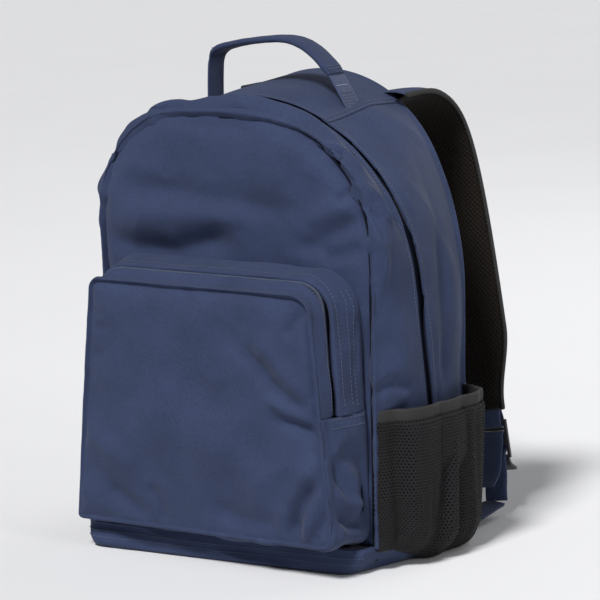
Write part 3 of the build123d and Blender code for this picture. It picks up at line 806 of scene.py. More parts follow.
def base():
    """Base panel, closed, with soft lower edges and a rolled upper one."""
    rings = [(20.0, 110), (21.5, 30), (23.5, 3.0), (23.0, 0.2), (20.0, -0.6), (13.0, 0.6, 3)]
    rings += [(6.5, 3.4, 6), (2.0, 8.5, 8), (0.4, 16, 6), (0.3, 60), (0.3, 120)]
    steps = [2, 3, 2, 3, 5, 5, 4, 4, 3, 2]
    grid = loft([closed(base_ring(*ring)) for ring in rings], steps)[:, :-1]
    height = grid[:, :, 2] / MM
    out = normalised((grid - grid.mean(axis=1, keepdims=True)) * [1, 1, 0])
    swell = fractal(grid, 60 * MM, 41, (1, 1, 1.8)) * 5.5 + crumple(grid, 40 * MM, 42, (1, 1, 1.8)) * 1.8
    swell *= ramp(height - 1.0, 5) * ramp(24.5 - height, 4)
    grid = grid + out * (swell * MM)[:, :, None]
    grid[:, :, 2] = np.maximum(grid[:, :, 2], 0.2 * MM)
    return grid


# --- front pocket --------------------------------------------------------------------------------
LOWER, UPPER = 110, 260  # points on each side below the seam, and over the top


def pocket_line(shape, push):
    """(x, z) line from the middle of the foot, up the left side, over the top and down the right."""
    foot_half, top_half, foot, top, foot_radius, top_radius = shape
    corners = [(-foot_half, foot), (-top_half, top), (top_half, top), (foot_half, foot)]
    line = rounded(corners, [foot_radius, top_radius, top_radius, foot_radius], 24)
    line = resample(np.vstack([[0, foot], line, [0, foot]]), 1200)
    ahead = np.roll(line, -1, axis=0) - np.roll(line, 1, axis=0)
    ahead[[0, -1]] = [-1, 0]
    line = line + left_of(ahead) * push
    above = np.flatnonzero(line[:, 1] > POCKET_SEAM)
    left, over, right = line[: above[0] + 1], line[above[0] : above[-1] + 1], line[above[-1] :]
    parts = ((left, LOWER), (over, UPPER), (right, LOWER))
    return np.vstack([resample(part, count + 1)[:-1] for part, count in parts])


def pocket_row(shape, push, y):
    return upright(pocket_line(shape, push * MM), y)


def pocket_zip_rows(places):
    """Rows beside the pocket's zip: (push outwards, back from the zip) in millimetres."""
    return [pocket_row(POCKET_ZIP, push, POCKET_ZIP_Y + y * MM) for push, y in places]


def pocket_middle_row(push, back):
    """Row half way between the zip's outline and the rear one."""
    y = POCKET_ZIP_Y + back * MM
    return (pocket_row(POCKET_ZIP, push, y) + pocket_row(POCKET_REAR, push, y)) / 2


def pocket_rear_rows(forward):
    """Rows at the seam with the front panel, the first a little forward of it."""
    places = ((1.2, -forward), (-1.5, 3))
    return [pocket_row(POCKET_REAR, push, FRONT_Y + y * MM) for push, y in places]


def upper_part(row):
    return row[LOWER : LOWER + UPPER + 1]


def lower_part(row):
    return np.vstack([row[LOWER + UPPER :], row[: LOWER + 1]])


POCKET_FOLDS = [
    ([(-118, 250), (-60, 240), (40, 244), (112, 250)], 1.6, 16),
    ([(48, 214), (72, 192), (98, 168), (124, 151)], -2.6, 8),
    ([(66, 226), (96, 196), (126, 164)], 2.0, 9),
    ([(80, 170), (104, 158), (130, 146)], 2.4, 7),
    ([(138, 132), (116, 142), (84, 148)], -2.2, 6),
    ([(142, 116), (120, 96), (98, 60), (92, 40)], 2.0, 9),
    ([(132, 96), (110, 66), (104, 36)], -2.8, 8),
    ([(144, 92), (126, 66), (116, 34)], 2.6, 7),
    ([(144, 66), (130, 48), (126, 33)], -2.4, 5),
    ([(-112, 66), (-84, 52), (-60, 36)], -1.6, 8),
    ([(-60, 74), (-46, 52), (-40, 34)], -1.2, 6),
    ([(-134, 120), (-100, 96), (-70, 90)], 1.2, 14),
    ([(-20, 130), (20, 118), (60, 96), (84, 66)], 1.8, 18),
    ([(10, 60), (50, 48), (90, 50)], -1.8, 10),
    ([(124, 250), (108, 236), (98, 222)], -2.0, 6),
    ([(-128, 222), (-118, 216), (-100, 214)], -0.9, 5),
    ([(-132, 196), (-120, 190), (-104, 190)], -0.7, 5),
]


def pocket_panel_y(points, outline):
    """Depth of the pocket's panel at (x, z) points: a sewn ridge round its edge, then a full front."""
    gap = edge_gap(points, outline) / MM
    ridge = 2.4 * bump(gap, 1.6, 1.5) - 1.7 * bump(gap, 5.2, 1.8)
    ridge *= 0.25 + 0.75 * ramp(points[:, 1] / MM - 50, 90)  # flat along the foot
    crown = 8.0 * (1 - np.exp(-np.maximum(gap - 4, 0) / 30)) - 2.4 * bump(gap, 0, 0.9)
    place = upright(points, 0)
    soft = fractal(place, 70 * MM, 51) * 3.4 + crumple(place, 66 * MM, 52) * 1.3
    soft += crumple(place, 30 * MM, 54) * 0.45
    angle = np.arctan2(points[:, 1] - 146 * MM, points[:, 0])
    gathers = fractal(in_line(angle * 13), 1.0, 53) * 1.6 * bump(gap, 0, 16) * ramp(gap, 5)
    creases = folds(points / MM, POCKET_FOLDS)
    total = ridge + crown + gathers + (soft + 2.3 * creases) * ramp(gap - 3, 8)
    return POCKET_Y - total * MM


def pocket_front_rows():
    """Rows rolled round the edge of the pocket's panel."""
    places = ((-2.2, 3.2), (-0.4, 1.6), (0.6, 2.8), (1.4, 7.0))
    return [pocket_row(POCKET_FRONT, push, POCKET_Y + y * MM) for push, y in places]


def pocket_front_gusset():
    """Strip between the pocket's panel and its zip."""
    rows = pocket_front_rows()
    rows += pocket_zip_rows(((-0.8, -6.4), (-1.0, -3.8), (-2.2, -2.6), (-4.0, -4.0), (-4.8, -7.0)))
    grid = loft([upper_part(row) for row in rows], [2, 2, 2, 3, 3, 2, 3, 2])
    soft = fractal(grid, 30 * MM, 61) * 1.5 + fractal(grid, 12 * MM, 62) * 0.5
    return raised(grid, soft * MM)


def pocket_rear_gusset():
    """Strip from the pocket's zip back to the front panel."""
    rows = pocket_zip_rows(((-4.4, 6.0), (-3.2, 4.4), (0.2, 3.0), (2.6, 4.4), (3.2, 8.8)))
    rows += [pocket_middle_row(2.5, 24)] + pocket_rear_rows(4)
    grid = loft([upper_part(row) for row in rows], [2, 3, 2, 3, 7, 6, 3])
    soft = fractal(grid, 42 * MM, 64) * 3.0 + fractal(grid, 15 * MM, 65, (1, 0.5, 1)) * 0.8
    side = grid[:, :, [1, 2]] / MM
    creases = fold(side, [(-142, 262), (-126, 250), (-114, 232)], 1.8, 6)
    creases += fold(side, [(-116, 236), (-122, 180)], -1.6, 5)
    keep = ramp(seam_depth(grid, 7), 8) * ramp(seam_depth(grid, -3), 9)
    right = grid[:, :, 0] > -0.01 * MM  # with the middle
    return raised(grid, (soft + creases * right) * keep * MM)


LOWER_POCKET_FOLDS = [
    ([(-166, 92), (-152, 74), (-134, 66), (-116, 70)], 2.6, 6),
    ([(-160, 62), (-144, 50), (-124, 48)], -2.6, 5),
    ([(-168, 126), (-156, 100), (-150, 70)], -2.0, 5),
    ([(-150, 112), (-136, 92), (-132, 60)], 2.0, 6),
    ([(-128, 120), (-118, 84), (-120, 50)], -1.6, 6),
]


def pocket_lower_gusset():
    """Strip under the side seams and along the foot of the pocket, with no zip in it."""
    rows = pocket_front_rows() + pocket_zip_rows(((1.2, 0),)) + [pocket_middle_row(2.0, 20)]
    rows += pocket_rear_rows(3)
    grid = loft([lower_part(row) for row in rows], [2, 2, 2, 5, 6, 5, 3])
    soft = fractal(grid, 38 * MM, 67) * 4.0 + crumple(grid, 34 * MM, 68, (1, 0.7, 1)) * 1.8
    creases = folds(grid[:, :, [1, 2]] / MM, LOWER_POCKET_FOLDS)
    keep = ramp(seam_depth(grid, -3), 9) * np.clip(seam_depth(grid, 6) / 6, 0.15, 1)
    return raised(grid, (soft + 2.6 * creases) * keep * MM)


# --- zips ----------------------------------------------------------------------------------------
TOOTH_PITCH = 1.5 * MM


def zip_teeth(zip_name, line, normals, forward, material):
    """Both halves of a coil zip: bent nylon teeth, one after another, that meet in between."""
    run = lengths(line)
    reach = np.array([-0.7, -0.3, 0.6, 2.0, 2.7, 2.9])[:, None] * MM
    lift = np.array([-0.15, 0.25, 0.35, 0.3, 0.0, -0.5])[:, None] * MM
    size = np.array([0.95, 1.1, 0.8, 0.75, 0.75, 0.6]) * MM
    for side, half in ((1, "front"), (-1, "rear")):
        parts = []
        for at in np.arange(TOOTH_PITCH / 2 if side > 0 else 0.0, run[-1], TOOTH_PITCH):
            centre, n = at_lengths(line, run, at), at_lengths(normals, run, at)
            path = centre + forward * reach * side + n * lift
            parts.append(capped(tube(path, size, size * 0.8, n, 6)))
        name, node = f"{zip_name}_teeth_{half}", f"{zip_name}_coil_{half}"
        make(name, *joined(parts), "bag", material, "zip_coil", [node])


def main_zip():
    """Teeth along the zip's leaning arch, down to its bottom stops."""
    line = station(ZIP_ARCH, -5.0 * MM + ZIP_PUSH, 0)
    out = outward(arch_line(ZIP_ARCH))
    normals = np.stack([out[:, 0], -out[:, 1] * math.sin(ZIP_TILT), out[:, 1] * math.cos(ZIP_TILT)], 1)
    keep = line[:, 2] > ZIP_END - 6 * MM
    forward = np.array([0, -math.cos(ZIP_TILT), -math.sin(ZIP_TILT)])
    # The teeth use the coil colour that is painted near black as shade in the slit.
    zip_teeth("main_zip", line[keep], normals[keep], forward, NYLON_PAINTED_SHADE)


def pocket_zip():
    """Deep between its lips down the sides, higher over the top."""
    deep, high = pocket_zip_rows(((-4.2, 0), (-0.9, 0)))
    row = deep + (high - deep) * ramp(deep[:, 2:] - 245 * MM, 15 * MM)
    normals = normalised(np.cross(np.roll(row, -1, axis=0) - np.roll(row, 1, axis=0), [0, 1, 0]))
    # The teeth use the coil colour that is painted pale as a highlight.
    zip_teeth("pocket_zip", upper_part(row), upper_part(normals), np.array([0, -1.0, 0]), NYLON_PAINTED_HIGHLIGHT)


# --- side pockets --------------------------------------------------------------------------------
MESH_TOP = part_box("side_binding_right")[1].z
MESH_FOOT = 3 * MM
BINDING_DROP = 13 * MM
MESH_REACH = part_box("side_mesh_right")[1].x
MESH_POINTS = 160  # across the pocket
CELL = 3.4 * MM


def pocket_bulge(height):
    """Plan of the right side pocket at a height, from its front seam to its back seam."""
    t = np.clip(height / MESH_TOP, 0, 1)
    sag = 1 - 0.6 * ramp(0.22 - t, 0.22) ** 2
    reach = 150 * MM + (MESH_REACH - 150 * MM) * sag * (0.93 if t > 0.9 else 1.0)
    points = [
        (151 * MM, FRONT_Y + 1 * MM),
        (159 * MM, FRONT_Y + 8 * MM),
        (reach - 8 * MM, FRONT_Y + 32 * MM),
        (reach - 1 * MM, FRONT_Y + 75 * MM),
        (reach, BACK_Y - 48 * MM),
        (reach - 3 * MM, BACK_Y - 18 * MM),
        (reach - 16 * MM, BACK_Y - 6 * MM),
        (150 * MM, BACK_Y - 3 * MM),
    ]
    return np.column_stack([smooth_line(points, MESH_POINTS), np.full(MESH_POINTS, height)])


MESH_PLEATS = [  # (place along the pocket, lean, width, rise in millimetres)
    (0.13, -0.02, 0.035, -7.0),
    (0.24, 0.04, 0.05, 4.0),
    (0.36, 0.12, 0.045, -6.5),
    (0.47, 0.04, 0.04, 4.0),
    (0.58, 0.00, 0.045, -6.0),
    (0.72, -0.04, 0.05, 3.5),
    (0.83, -0.04, 0.04, -4.0),
]


def bulge_surface(heights):
    """Side pocket as a sheet with soft upright folds, gathered by the elastic above."""
    grid = np.array([pocket_bulge(height) for height in heights])
    across = np.gradient(grid, axis=1)
    out = -normalised(np.stack([-across[:, :, 1], across[:, :, 0], across[:, :, 2] * 0], 2))
    s = np.linspace(0, 1, MESH_POINTS)[None, :]
    t = (np.asarray(heights) / MESH_TOP)[:, None]
    place = np.stack([s * 9 + 0.5 * t, t * 0.9 + s * 0, s * 0 + t * 0], -1)
    wave = fractal(place, 1.0, 71) * 5.5 + fractal(place * [2.1, 1.2, 1], 1.0, 72) * 3.0
    pleats = sum(rise * bump(s - lean * t, middle, width) for middle, lean, width, rise in MESH_PLEATS)
    fade = ramp(s, 0.08) * ramp(1 - s, 0.08) * np.clip(t / 0.15, 0.15, 1) * (1 - 0.55 * ramp(t - 0.8, 0.15))
    clear = -12 + 11 * bump(s, 0.5, 0.2) * ramp(t - 0.5, 0.15)  # room for the zip's pull behind
    height = np.clip((wave + pleats - 2.2) * fade, clear, 1.5)
    grid = grid + out * (height * MM)[:, :, None]
    lifted = 17 * MM * (1 - ramp(s - 0.12, 0.3)) + 6 * MM * ramp(s - 0.85, 0.15)
    grid[:, :, 2] += lifted * ramp(0.45 - t, 0.45)
    return grid


def sample(grid, u, v):
    """Points of a grid at fractions u along its columns and v along its rows."""
    rows, cols = grid.shape[:2]
    x, y = np.clip(u, 0, 1) * (cols - 1), np.clip(v, 0, 1) * (rows - 1)
    c, r = np.minimum(x.astype(int), cols - 2), np.minimum(y.astype(int), rows - 2)
    fx, fy = (x - c)[..., None], (y - r)[..., None]
    low = grid[r, c] * (1 - fx) + grid[r, c + 1] * fx
    high = grid[r + 1, c] * (1 - fx) + grid[r + 1, c + 1] * fx
    return low * (1 - fy) + high * fy


def net(grid, width, height, hole):
    """Honeycomb net laid over a grid: points and faces, one open cell after another."""
    pitch_v = CELL * math.sqrt(0.75)
    cols, rows = int(width / CELL), int(height / pitch_v)
    corner = np.arange(6) * math.pi / 3 + math.pi / 6
    ring = np.stack([np.cos(corner), np.sin(corner)], 1) * CELL / math.sqrt(3)
    index, flat, faces = {}, [], []

    def vertex(p):
        key = (round(p[0] / (0.1 * MM)), round(p[1] / (0.1 * MM)))
        for du in (-1, 0, 1):
            for dv in (-1, 0, 1):
                near = (key[0] + du, key[1] + dv)
                if near in index:
                    return index[near]
        index[key] = len(flat)
        flat.append(p)
        return index[key]

    for r in range(rows):
        for c in range(cols):
            centre = np.array([(c + 0.5 + 0.5 * (r % 2)) * CELL, (r + 0.5) * pitch_v])
            outer = [vertex(centre + q) for q in ring]
            start = len(flat)
            flat.extend(centre + q * hole for q in ring)
            for k in range(6):
                m = (k + 1) % 6
                faces.append((outer[k], outer[m], start + m, start + k))
    flat = np.array(flat)
    return sample(grid, flat[:, 0] / width, flat[:, 1] / height), faces


def mirrored(points, faces, sign):
    """The same piece on the right (1) or the left (-1) side."""
    if sign > 0:
        return points, faces
    return np.asarray(points).reshape(-1, 3) * [-1, 1, 1], [tuple(reversed(face)) for face in faces]


def side_pocket(side, sign):
    """Mesh pocket: a net, a near-black net of painted shade just inside it, a hem at the foot and an
    elastic binding along the top.
    """
    edge = MESH_TOP - BINDING_DROP
    heights = np.linspace(MESH_FOOT, edge + 3 * MM, 50)
    grid = bulge_surface(heights)
    width, height = lengths(grid[25])[-1], heights[-1] - heights[0]

    def net_piece(name, sheet, tall, hole, material, thickness, nodes=()):
        net_faces = mirrored(*net(sheet, width, tall, hole), sign)
        make(name + side, *net_faces, "bag", material, "black_mesh", nodes, thickness)

    net_piece("side_net_", grid, height, 0.60, NET, 0.5 * MM, ["side_mesh_" + side])
    # A near-black net a little inside the first: painted shade behind the mesh.
    net_piece("side_net_painted_shade_", grid + grid_normals(grid) * 1.6 * MM, height, 0.42, NET_PAINTED_SHADE, 0.3 * MM)
    top = bulge_surface(np.linspace(edge, MESH_TOP, 7))
    swell = grid_normals(top) * np.array([0.4, 1.1, 1.3, 1.3, 1.3, 1.1, 0.5])[:, None, None] * MM
    outer, inner = top - swell, top + swell
    loop = np.concatenate([outer, inner[::-1]])
    loop[:, :, 2] += puckers(np.linspace(0, 0.22, MESH_POINTS), 77, 4 * MM) * 0.5 * MM
    binding = mirrored(*capped(np.swapaxes(loop, 0, 1)), -sign)
    make("side_edge_" + side, *binding, "bag", BINDING, "black_binding", ["side_binding_" + side])
    mirror = np.array([sign, 1, 1])
    rows = [(outer[k] * mirror, normalised((outer - inner)[k] * mirror)) for k in (1, 5)]
    stitches("side_edge_stitches_" + side, rows, "bag", BINDING, "black_binding", 2.0 * MM)
    low = bulge_surface(np.linspace(MESH_FOOT - 1.5 * MM, 22 * MM, 10))
    net_piece("side_net_hem_", low - grid_normals(low) * 0.5 * MM, 23.5 * MM, 0.35, NET, 0.5 * MM)


# --- shoulder straps -----------------------------------------------------------------------------
STRAP_PATH = [(-9, 423), (6, 423.5), (24, 424), (42, 422.5), (58, 417), (72, 408), (84, 394)]
STRAP_PATH += [(92.5, 374), (98, 350), (102, 318), (104.5, 280), (105.8, 230), (106, 170), (106, 104)]
STRAP_ROWS, STRAP_COLS = 220, 25


def strap_point(u, v, w):
    """Points of the right strap's leaning frame, in metres."""
    u, v, w = np.broadcast_arrays(u, v, w)
    x = STRAP_FOOT_X - LEAN_SIN * v + LEAN_COS * w
    return np.stack([x, BACK_Y + u, LEAN_COS * v + LEAN_SIN * w], -1)


def strap_frame():
    """Path of the strap, its outward normals (in the leaning plane) and its half width along it."""
    path = smooth_line(np.array(STRAP_PATH) * MM, STRAP_ROWS)
    down = ramp(TAPER_TOP - path[:, 1], TAPER_TOP - TAPER_FOOT)
    half = STRAP_HALF + (STRAP_END_HALF - STRAP_HALF) * eased(down)
    return path, left_of(np.gradient(path, axis=0)), half


def strap_sheet(facing, seed):
    """Crowned sheet over the strap's foam, on its outside (1) or its inside (-1)."""
    path, normal, half = strap_frame()
    w = np.sin(np.linspace(-1, 1, STRAP_COLS) * math.pi / 2)
    width = (half - 0.6 * MM)[:, None] * w
    end = np.sqrt(ramp(np.arange(STRAP_ROWS)[::-1], 10))[:, None]
    up = facing * (0.6 + 5.4 * (1 - np.abs(w) ** 3) * end)[:, :, None] * MM
    place = path[:, None, :] + normal[:, None, :] * up
    grid = strap_point(place[:, :, 0], place[:, :, 1], width)
    return raised(grid, fractal(grid, 26 * MM, seed) * 0.5 * MM)


def strap_blend(piece):
    """Bakes a piece's placement into its mesh; the strap's root is sewn to the bag."""
    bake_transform(piece)


def strap(side, sign):
    """Padded shoulder strap: cloth outside, spacer mesh towards the wearer, bound together at the edge."""
    shell, under = strap_sheet(1, 81), strap_sheet(-1, 82)
    pieces = []
    for name, grid, material, slot, nodes in (
        ("strap_cover_", shell, POLYESTER, "navy_polyester", ["strap_shell_", "strap_foam_"]),
        ("strap_lining_", under[:, ::-1], SPACER, "spacer_mesh", ["strap_mesh_"]),
    ):
        sheet = mirrored(grid, grid_faces(*grid.shape[:2]), sign)
        pieces.append(make(name + side, *sheet, None, material, slot, [n + side for n in nodes], 1.0 * MM))
        apply_modifiers(pieces[-1])
    path, normal, half = strap_frame()
    middle = strap_point(*path.T, 0)
    foot = strap_point(*path[-1], np.linspace(-half[-1], half[-1], 14)[1:-1])
    line = resample(np.vstack([strap_point(*path.T, -half), foot, strap_point(*path.T, half)[::-1]]), 520)
    nearest = [np.argmin(np.linalg.norm(middle - point, axis=1)) for point in line]
    up = [(-LEAN_SIN * n[1], n[0], LEAN_COS * n[1]) for n in normal[nearest]]
    binding = mirrored(*capped(tube(line, 2.6 * MM, 5.0 * MM, up, 10, 2.6)), sign)
    tape = ["strap_edge_tape_" + side]
    pieces.append(make("strap_edge_" + side, *binding, None, BINDING, "black_binding", tape))
    mirror, normals = np.array([sign, 1, 1]), grid_normals(shell)
    rows = [(shell[6:-4, w] * mirror, normals[6:-4, w] * mirror) for w in (2, -3)]
    pieces.append(stitches("strap_stitches_" + side, rows, None, THREAD_NAVY))
    for piece in pieces:
        strap_blend(piece)


def apply_modifiers(piece):
    """Makes what a piece's modifiers show its own mesh."""
    shown = piece.evaluated_get(bpy.context.evaluated_depsgraph_get())
    mesh = bpy.data.meshes.new_from_object(shown)
    piece.modifiers.clear()
    piece.data = mesh


def web_strip(path, sign, count):
    """Flat webbing along a path of the strap's plane, in millimetres from the lock: points and faces."""
    line = smooth_line((np.array(path) + LOCK) * MM, count)
    centre = strap_point(*line.T, 0)
    up = normalised(np.cross(np.gradient(centre, axis=0), [LEAN_COS, 0, LEAN_SIN]))
    return mirrored(*capped(tube(centre, WEB_WIDTH, WEB_THICKNESS, up, 16, 7.0)), sign)


LOCK_LOOP = [(-1.6, 52), (-1.6, 42), (1.5, 31), (3.2, 24), (2.8, 18.2), (0, 15.9)]
LOCK_LOOP += [(-2.8, 18.2), (-3.2, 24), (-3.0, 31), (-3.4, 42), (-3.4, 52)]
ADJUSTER = [(-11.5, -56), (-10, -46), (-6, -33), (-4.2, -22), (-3.2, -13), (0.4, -7.6), (3.2, -3.4)]
ADJUSTER += [(3.8, 4.0), (3.0, 9.0), (0.2, 11.0), (-2.8, 8.6), (-3.8, 3.0), (-5.6, -1.5), (-8.6, -7)]
ADJUSTER += [(-12.5, -17), (-17, -26), (-25, -33), (-33, -38)]


def strap_webbing(side, sign):
    """Webbing that holds the ladder lock, and the adjuster webbing that is threaded through it."""
    body = "strap_" + side
    loop = web_strip(LOCK_LOOP, sign, 90)
    make("lock_web_" + side, *loop, body, WEBBING, "navy_webbing", ["lock_webbing_" + side])
    web = web_strip(ADJUSTER, sign, 150)
    piece = make("adjuster_web_" + side, *web, None, WEBBING, "navy_webbing", ["adjuster_webbing_" + side])
    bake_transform(piece)


def anchor_tab(side, sign):
    """Folded triangular tab, sewn into the back corner, that holds the lower webbing."""
    rows = []
    for y in np.linspace(-2, 94, 26):
        low = np.interp(y, [-2, 60, 94], [105, 113.5, 117.2])
        high = np.interp(y, [-2, 60, 94], [148, 142, 138.6])
        x = np.linspace(low, high, 14)
        z = 4.6 + 0.9 * np.sin(np.linspace(0, math.pi, 14)) + y * math.tan(math.radians(4))
        rows.append(np.stack([x * MM, np.full(14, BACK_Y + y * MM), z * MM], 1))
    grid = np.array(rows)
    grid[:, :, 2] += fractal(grid, 22 * MM, 95) * 0.8 * MM
    tab = mirrored(grid * [-1, 1, 1], grid_faces(*grid.shape[:2]), -sign)
    navy_cloth("anchor_cloth_" + side, *tab, "anchor_tab_" + side, 2.2 * MM, 1)
    sewn = grid * [sign, 1, 1] + [0, 0, 0.3 * MM]
    rows = [(line, (0, 0, 1)) for line in (sewn[2:, 1], sewn[2:, -2], sewn[-2, 1:-1], sewn[-8, 1:-1])]
    stitches("anchor_stitches_" + side, rows, "bag", THREAD_NAVY)


# --- haul loop -----------------------------------------------------------------------------------
HAUL_PATH = [(-82.5, 406), (-82.5, 424), (-82, 442), (-80.5, 456), (-74, 466), (-58, 471), (-30, 475.5)]
HAUL_PATH += [(0, 477.5), (20, 474), (38, 464), (54, 449), (66, 432), (77, 414), (84, 402)]


def haul_blend(piece):
    """Bakes a piece's placement into its mesh; the loop's feet are sewn down."""
    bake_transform(piece)


def sewn_across(point, up, reach, count, lift):
    """A line of thread across the loop's webbing, with its normal."""
    span = np.linspace(-reach, reach, count)[:, None] * MM
    return point + up * lift + np.array([0, 1, 0]) * span, up


def haul_loop():
    """Webbing loop, wrapped in cloth where it is held, leaning over to its right foot."""
    middle = upright(smooth_line(np.array(HAUL_PATH) * MM, 170), HAUL_Y)
    tangent = np.gradient(middle, axis=0)
    up = normalised(np.cross([0, -1, 0], tangent))
    web = capped(tube(middle, WEB_WIDTH, 1.9 * MM, up, 18, 7.0))
    nodes = ["haul_webbing", "haul_webbing_ends"]
    haul_blend(make("haul_web", *web, None, WEBBING, "navy_webbing", nodes))
    run = lengths(middle) / MM
    held = (run > 53) & (run < 205)
    core, lift = middle[held], up[held]
    t = np.linspace(0, 1, held.sum())
    ends = bump(t, 0, 0.03) + bump(t, 1, 0.03)
    width = (28 + 1.2 * puckers(t * 0.15, 91, 20 * MM) - 2.0 * ends) * MM
    height = (6.8 + 0.7 * puckers(t * 0.15, 93, 16 * MM) - 3 * ends) * MM
    centre = core + lift * 0.3 * MM
    wrap = tube(centre, width, height, lift, 28, 3.2)
    crease = fractal(wrap, 14 * MM, 94, (1, 1.6, 1)) * 0.5 * MM
    wrap = wrap + normalised(wrap - centre[:, None, :]) * crease[:, :, None]
    make("haul_wrap", *capped(wrap), "haul_loop", POLYESTER, "navy_polyester", ["haul_grip"])
    rows = []
    for at in (0.035, 0.055, 0.945, 0.965):
        k = int(at * len(core))
        rows.append(sewn_across(core[k], lift[k], 12, 30, height[k] / 2 + 0.4 * MM))
    stitches("haul_wrap_stitches", rows, "haul_loop", THREAD_NAVY)
    k = int(0.845 * len(middle))
    pale = [sewn_across(middle[k], up[k], 10.5, 24, 1.0 * MM)]
    haul_blend(stitches("haul_bartack_pale", pale, None, THREAD_PALE, "navy_webbing", 2.0 * MM))
    zigzag = []
    for row in range(9):
        k = int((0.865 + row * 0.011) * len(middle))
        line, normal = sewn_across(middle[k], up[k], 10, 22, 1.0 * MM)
        along = (np.arange(22) % 2)[:, None] * 1.6 * MM
        zigzag.append((line + normalised(tangent[k]) * along, normal))
    haul_blend(stitches("haul_bartack", zigzag, None, THREAD_NAVY, "navy_webbing", 1.6 * MM))


# --- putting the bag together --------------------------------------------------------------------
def build_body():
    gusset = front_gusset()
    navy_grid("front_gusset_cloth", gusset, "front_gusset")
    beside_zip = sum(FRONT_GUSSET_STEPS[:8]) + 1
    stitches("front_gusset_stitches", [grid_row(gusset, beside_zip, 20, -20)], "bag", THREAD_NAVY)
    panel = fitted(panel_outline(), 3.2 * MM, front_panel_y)
    navy_cloth("front_panel_cloth", *panel, "front_panel")
    for sign, side, edge in ((1, "right", (4, -20)), (-1, "left", (20, -4))):
        grid = rear_gusset(sign)
        name = "rear_gusset_" + side
        navy_grid(name + "_cloth", grid, name)
        stitches(name + "_stitches", [grid_row(grid, 9, *edge)], "bag", THREAD_NAVY)
    yoke = behind_zip(-YOKE_HALF, YOKE_HALF, 110, 0.9)
    yoke = raised(yoke, behind_zip_relief(yoke) * MM)
    navy_grid("yoke_cloth", yoke, "yoke_panel")
    rows = [grid_row(yoke, 9, 2, -2)] + [grid_column(yoke, column, 8, -4) for column in (1, 4, -2, -5)]
    stitches("yoke_stitches", rows, "bag", THREAD_NAVY)


def build_base():
    grid = base()
    navy_cloth("base_cloth", *capped(grid[::-1]), "base_panel", 0.0)
    rows = []
    for line in (grid[13], grid[17]):
        out = normalised((line - line.mean(axis=0)) * [1, 1, 0])
        front = line[:, 1] < FRONT_Y - 12 * MM
        rows.append((line[front] + out[front] * 0.3 * MM, out[front]))
    stitches("base_stitches", rows, "bag", THREAD_NAVY)


def build_pocket():
    outline = rounded([(-148, 28), (-125, 263), (125, 263), (146, 30)], [5, 12, 24, 12], 16)[::-1] * MM
    navy_cloth("pocket_panel_cloth", *fitted(outline, 3.0 * MM, pocket_panel_y), "pocket_panel")
    front, rear, lower = pocket_front_gusset(), pocket_rear_gusset(), pocket_lower_gusset()
    for word, grid in (("front", front), ("rear", rear), ("lower", lower)):
        navy_grid(f"pocket_{word}_cloth", grid, "pocket_gusset_" + word, POCKET_CLOTH)
    rows = [grid_row(front, 11, 3, -3), grid_row(rear, 11, 3, -3), grid_row(rear, 18, 3, 60)]
    rows += [grid_row(rear, 16, -60, -3), grid_row(rear, 19, -60, -3)]
    rows += [grid_column(lower, column, 8, -3) for column in (1, 4, -2, -5)]
    stitches("pocket_stitches", rows, "bag", THREAD_NAVY)


def build_back():
    outline = back_outline(3 * MM)
    points, faces = fitted(outline, 3.4 * MM, back_panel_y)
    faces = [tuple(reversed(face)) for face in faces]
    pad = make("back_pad", points, faces, "bag", SPACER, "spacer_mesh", ["back_panel_mesh"], 2.4 * MM)
    rows = []
    for channel in BACK_CHANNELS:
        path = np.array(channel) * MM
        line = smooth_line(path, 200) if len(channel) > 2 else resample(path, 120)
        rows.append((upright(line, back_panel_y(line, outline) + 0.2 * MM), (0, 1, 0)))
    stitches("back_pad_stitches", rows, "bag", THREAD_NAVY, "spacer_mesh")


def paint_cad():
    """Better materials for the CAD nodes that show as they are."""
    materials = {
        # Tapes get the tape colour that is painted nearly black as shade.
        "zip_tape": TAPE_PAINTED_SHADE,
        "seam_tape": TAPE_PAINTED_SHADE,
        "slider": METAL,
        "pull": METAL,
        "ladder_lock": PLASTIC,
        "foam": FOAM,
        "back_panel_lining": LINING,
        # Coils get the coil colour that is painted near black as shade.
        "zip_coil": NYLON_PAINTED_SHADE,
    }
    for name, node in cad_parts.items():
        for word, material in materials.items():
            if word in name:
                for slot in node.material_slots:
                    slot.material = material


def lamp(name, kind, place, target, **settings):
    """A light that shines from a place on a target."""
    light = bpy.data.lights.new(name, kind)
    for key, value in settings.items():
        setattr(light, key, value)
    thing = placed(name, light)
    thing.location = place
    thing.rotation_euler = (Vector(target) - thing.location).to_track_quat("-Z", "Y").to_euler()


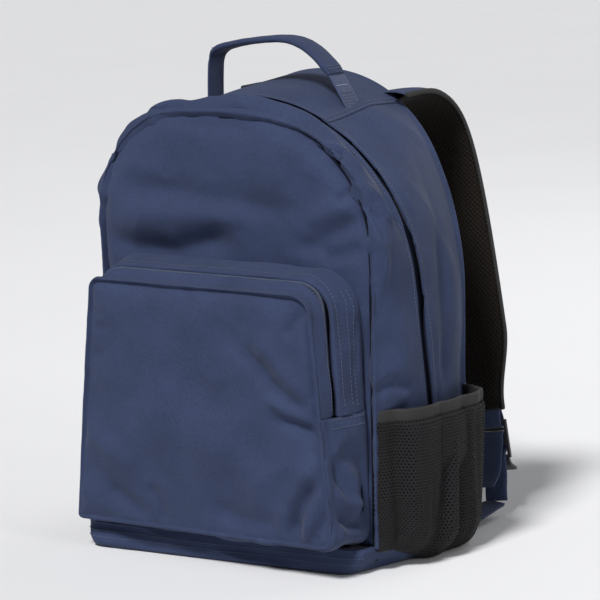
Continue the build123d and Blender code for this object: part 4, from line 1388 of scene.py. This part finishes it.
def build_camera():
    azimuth, elevation, roll = (math.radians(degrees) for degrees in (35.097, 8.761, -1.123))
    level = Vector((math.cos(azimuth), math.sin(azimuth), 0))
    ahead = Vector((math.sin(azimuth), -math.cos(azimuth), 0))
    back = ahead * math.cos(elevation) + Vector((0, 0, math.sin(elevation)))
    over = back.cross(level)
    right = level * math.cos(roll) + over * math.sin(roll)
    up = over * math.cos(roll) - level * math.sin(roll)
    data = bpy.data.cameras.new("Camera")
    data.sensor_width, data.lens = 36.0, 182.5
    data.shift_x, data.shift_y = 0.0367, -0.0154
    camera = placed("Camera", data)
    place = Vector((0, BACK_Y - 0.09, 0.24)) + back * 2.887
    camera.matrix_world = Matrix.Translation(place) @ Matrix((right, up, back)).transposed().to_4x4()
    bpy.context.scene.camera = camera


def build_studio():
    mesh = bpy.data.meshes.new("Floor")
    size = 30.0
    corners = [(-size, -size, 0), (size, -size, 0), (size, size, 0), (-size, size, 0)]
    mesh.from_pydata(corners, [], [(0, 1, 2, 3)])
    s = Surface("pale floor", 0.7, specular=0.2)
    s.colour([(0.72, 0.72, 0.73), (0.75, 0.75, 0.76)], s.noise(3.0, 2.0))
    mesh.materials.append(s.material)
    floor = placed("Floor", mesh)
    world = bpy.data.worlds.new("Studio")
    world.use_nodes = True
    background = world.node_tree.nodes["Background"]
    background.inputs["Color"].default_value = (0.86, 0.88, 0.92, 1)
    background.inputs["Strength"].default_value = 0.19
    bpy.context.scene.world = world
    bpy.context.scene.view_settings.view_transform = "Standard"
    middle = (0, -0.05, 0.22)
    lamp("Key", "SUN", (0.15, -1.7, 2.4), middle, angle=math.radians(14), energy=3.5)
    lamp("Fill", "AREA", (2.6, -0.6, 1.2), middle, shape="DISK", size=0.8, energy=14)
    lamp("Rim", "AREA", (0.6, 2.2, 1.8), middle, shape="DISK", size=1.8, energy=16)


build_body()
build_base()
build_pocket()
main_zip()
pocket_zip()
build_back()
for SIDE, SIGN in (("right", 1), ("left", -1)):
    side_pocket(SIDE, SIGN)
    strap(SIDE, SIGN)
    strap_webbing(SIDE, SIGN)
    anchor_tab(SIDE, SIGN)
haul_loop()
paint_cad()
build_camera()
build_studio()

bpy.context.view_layer.update()
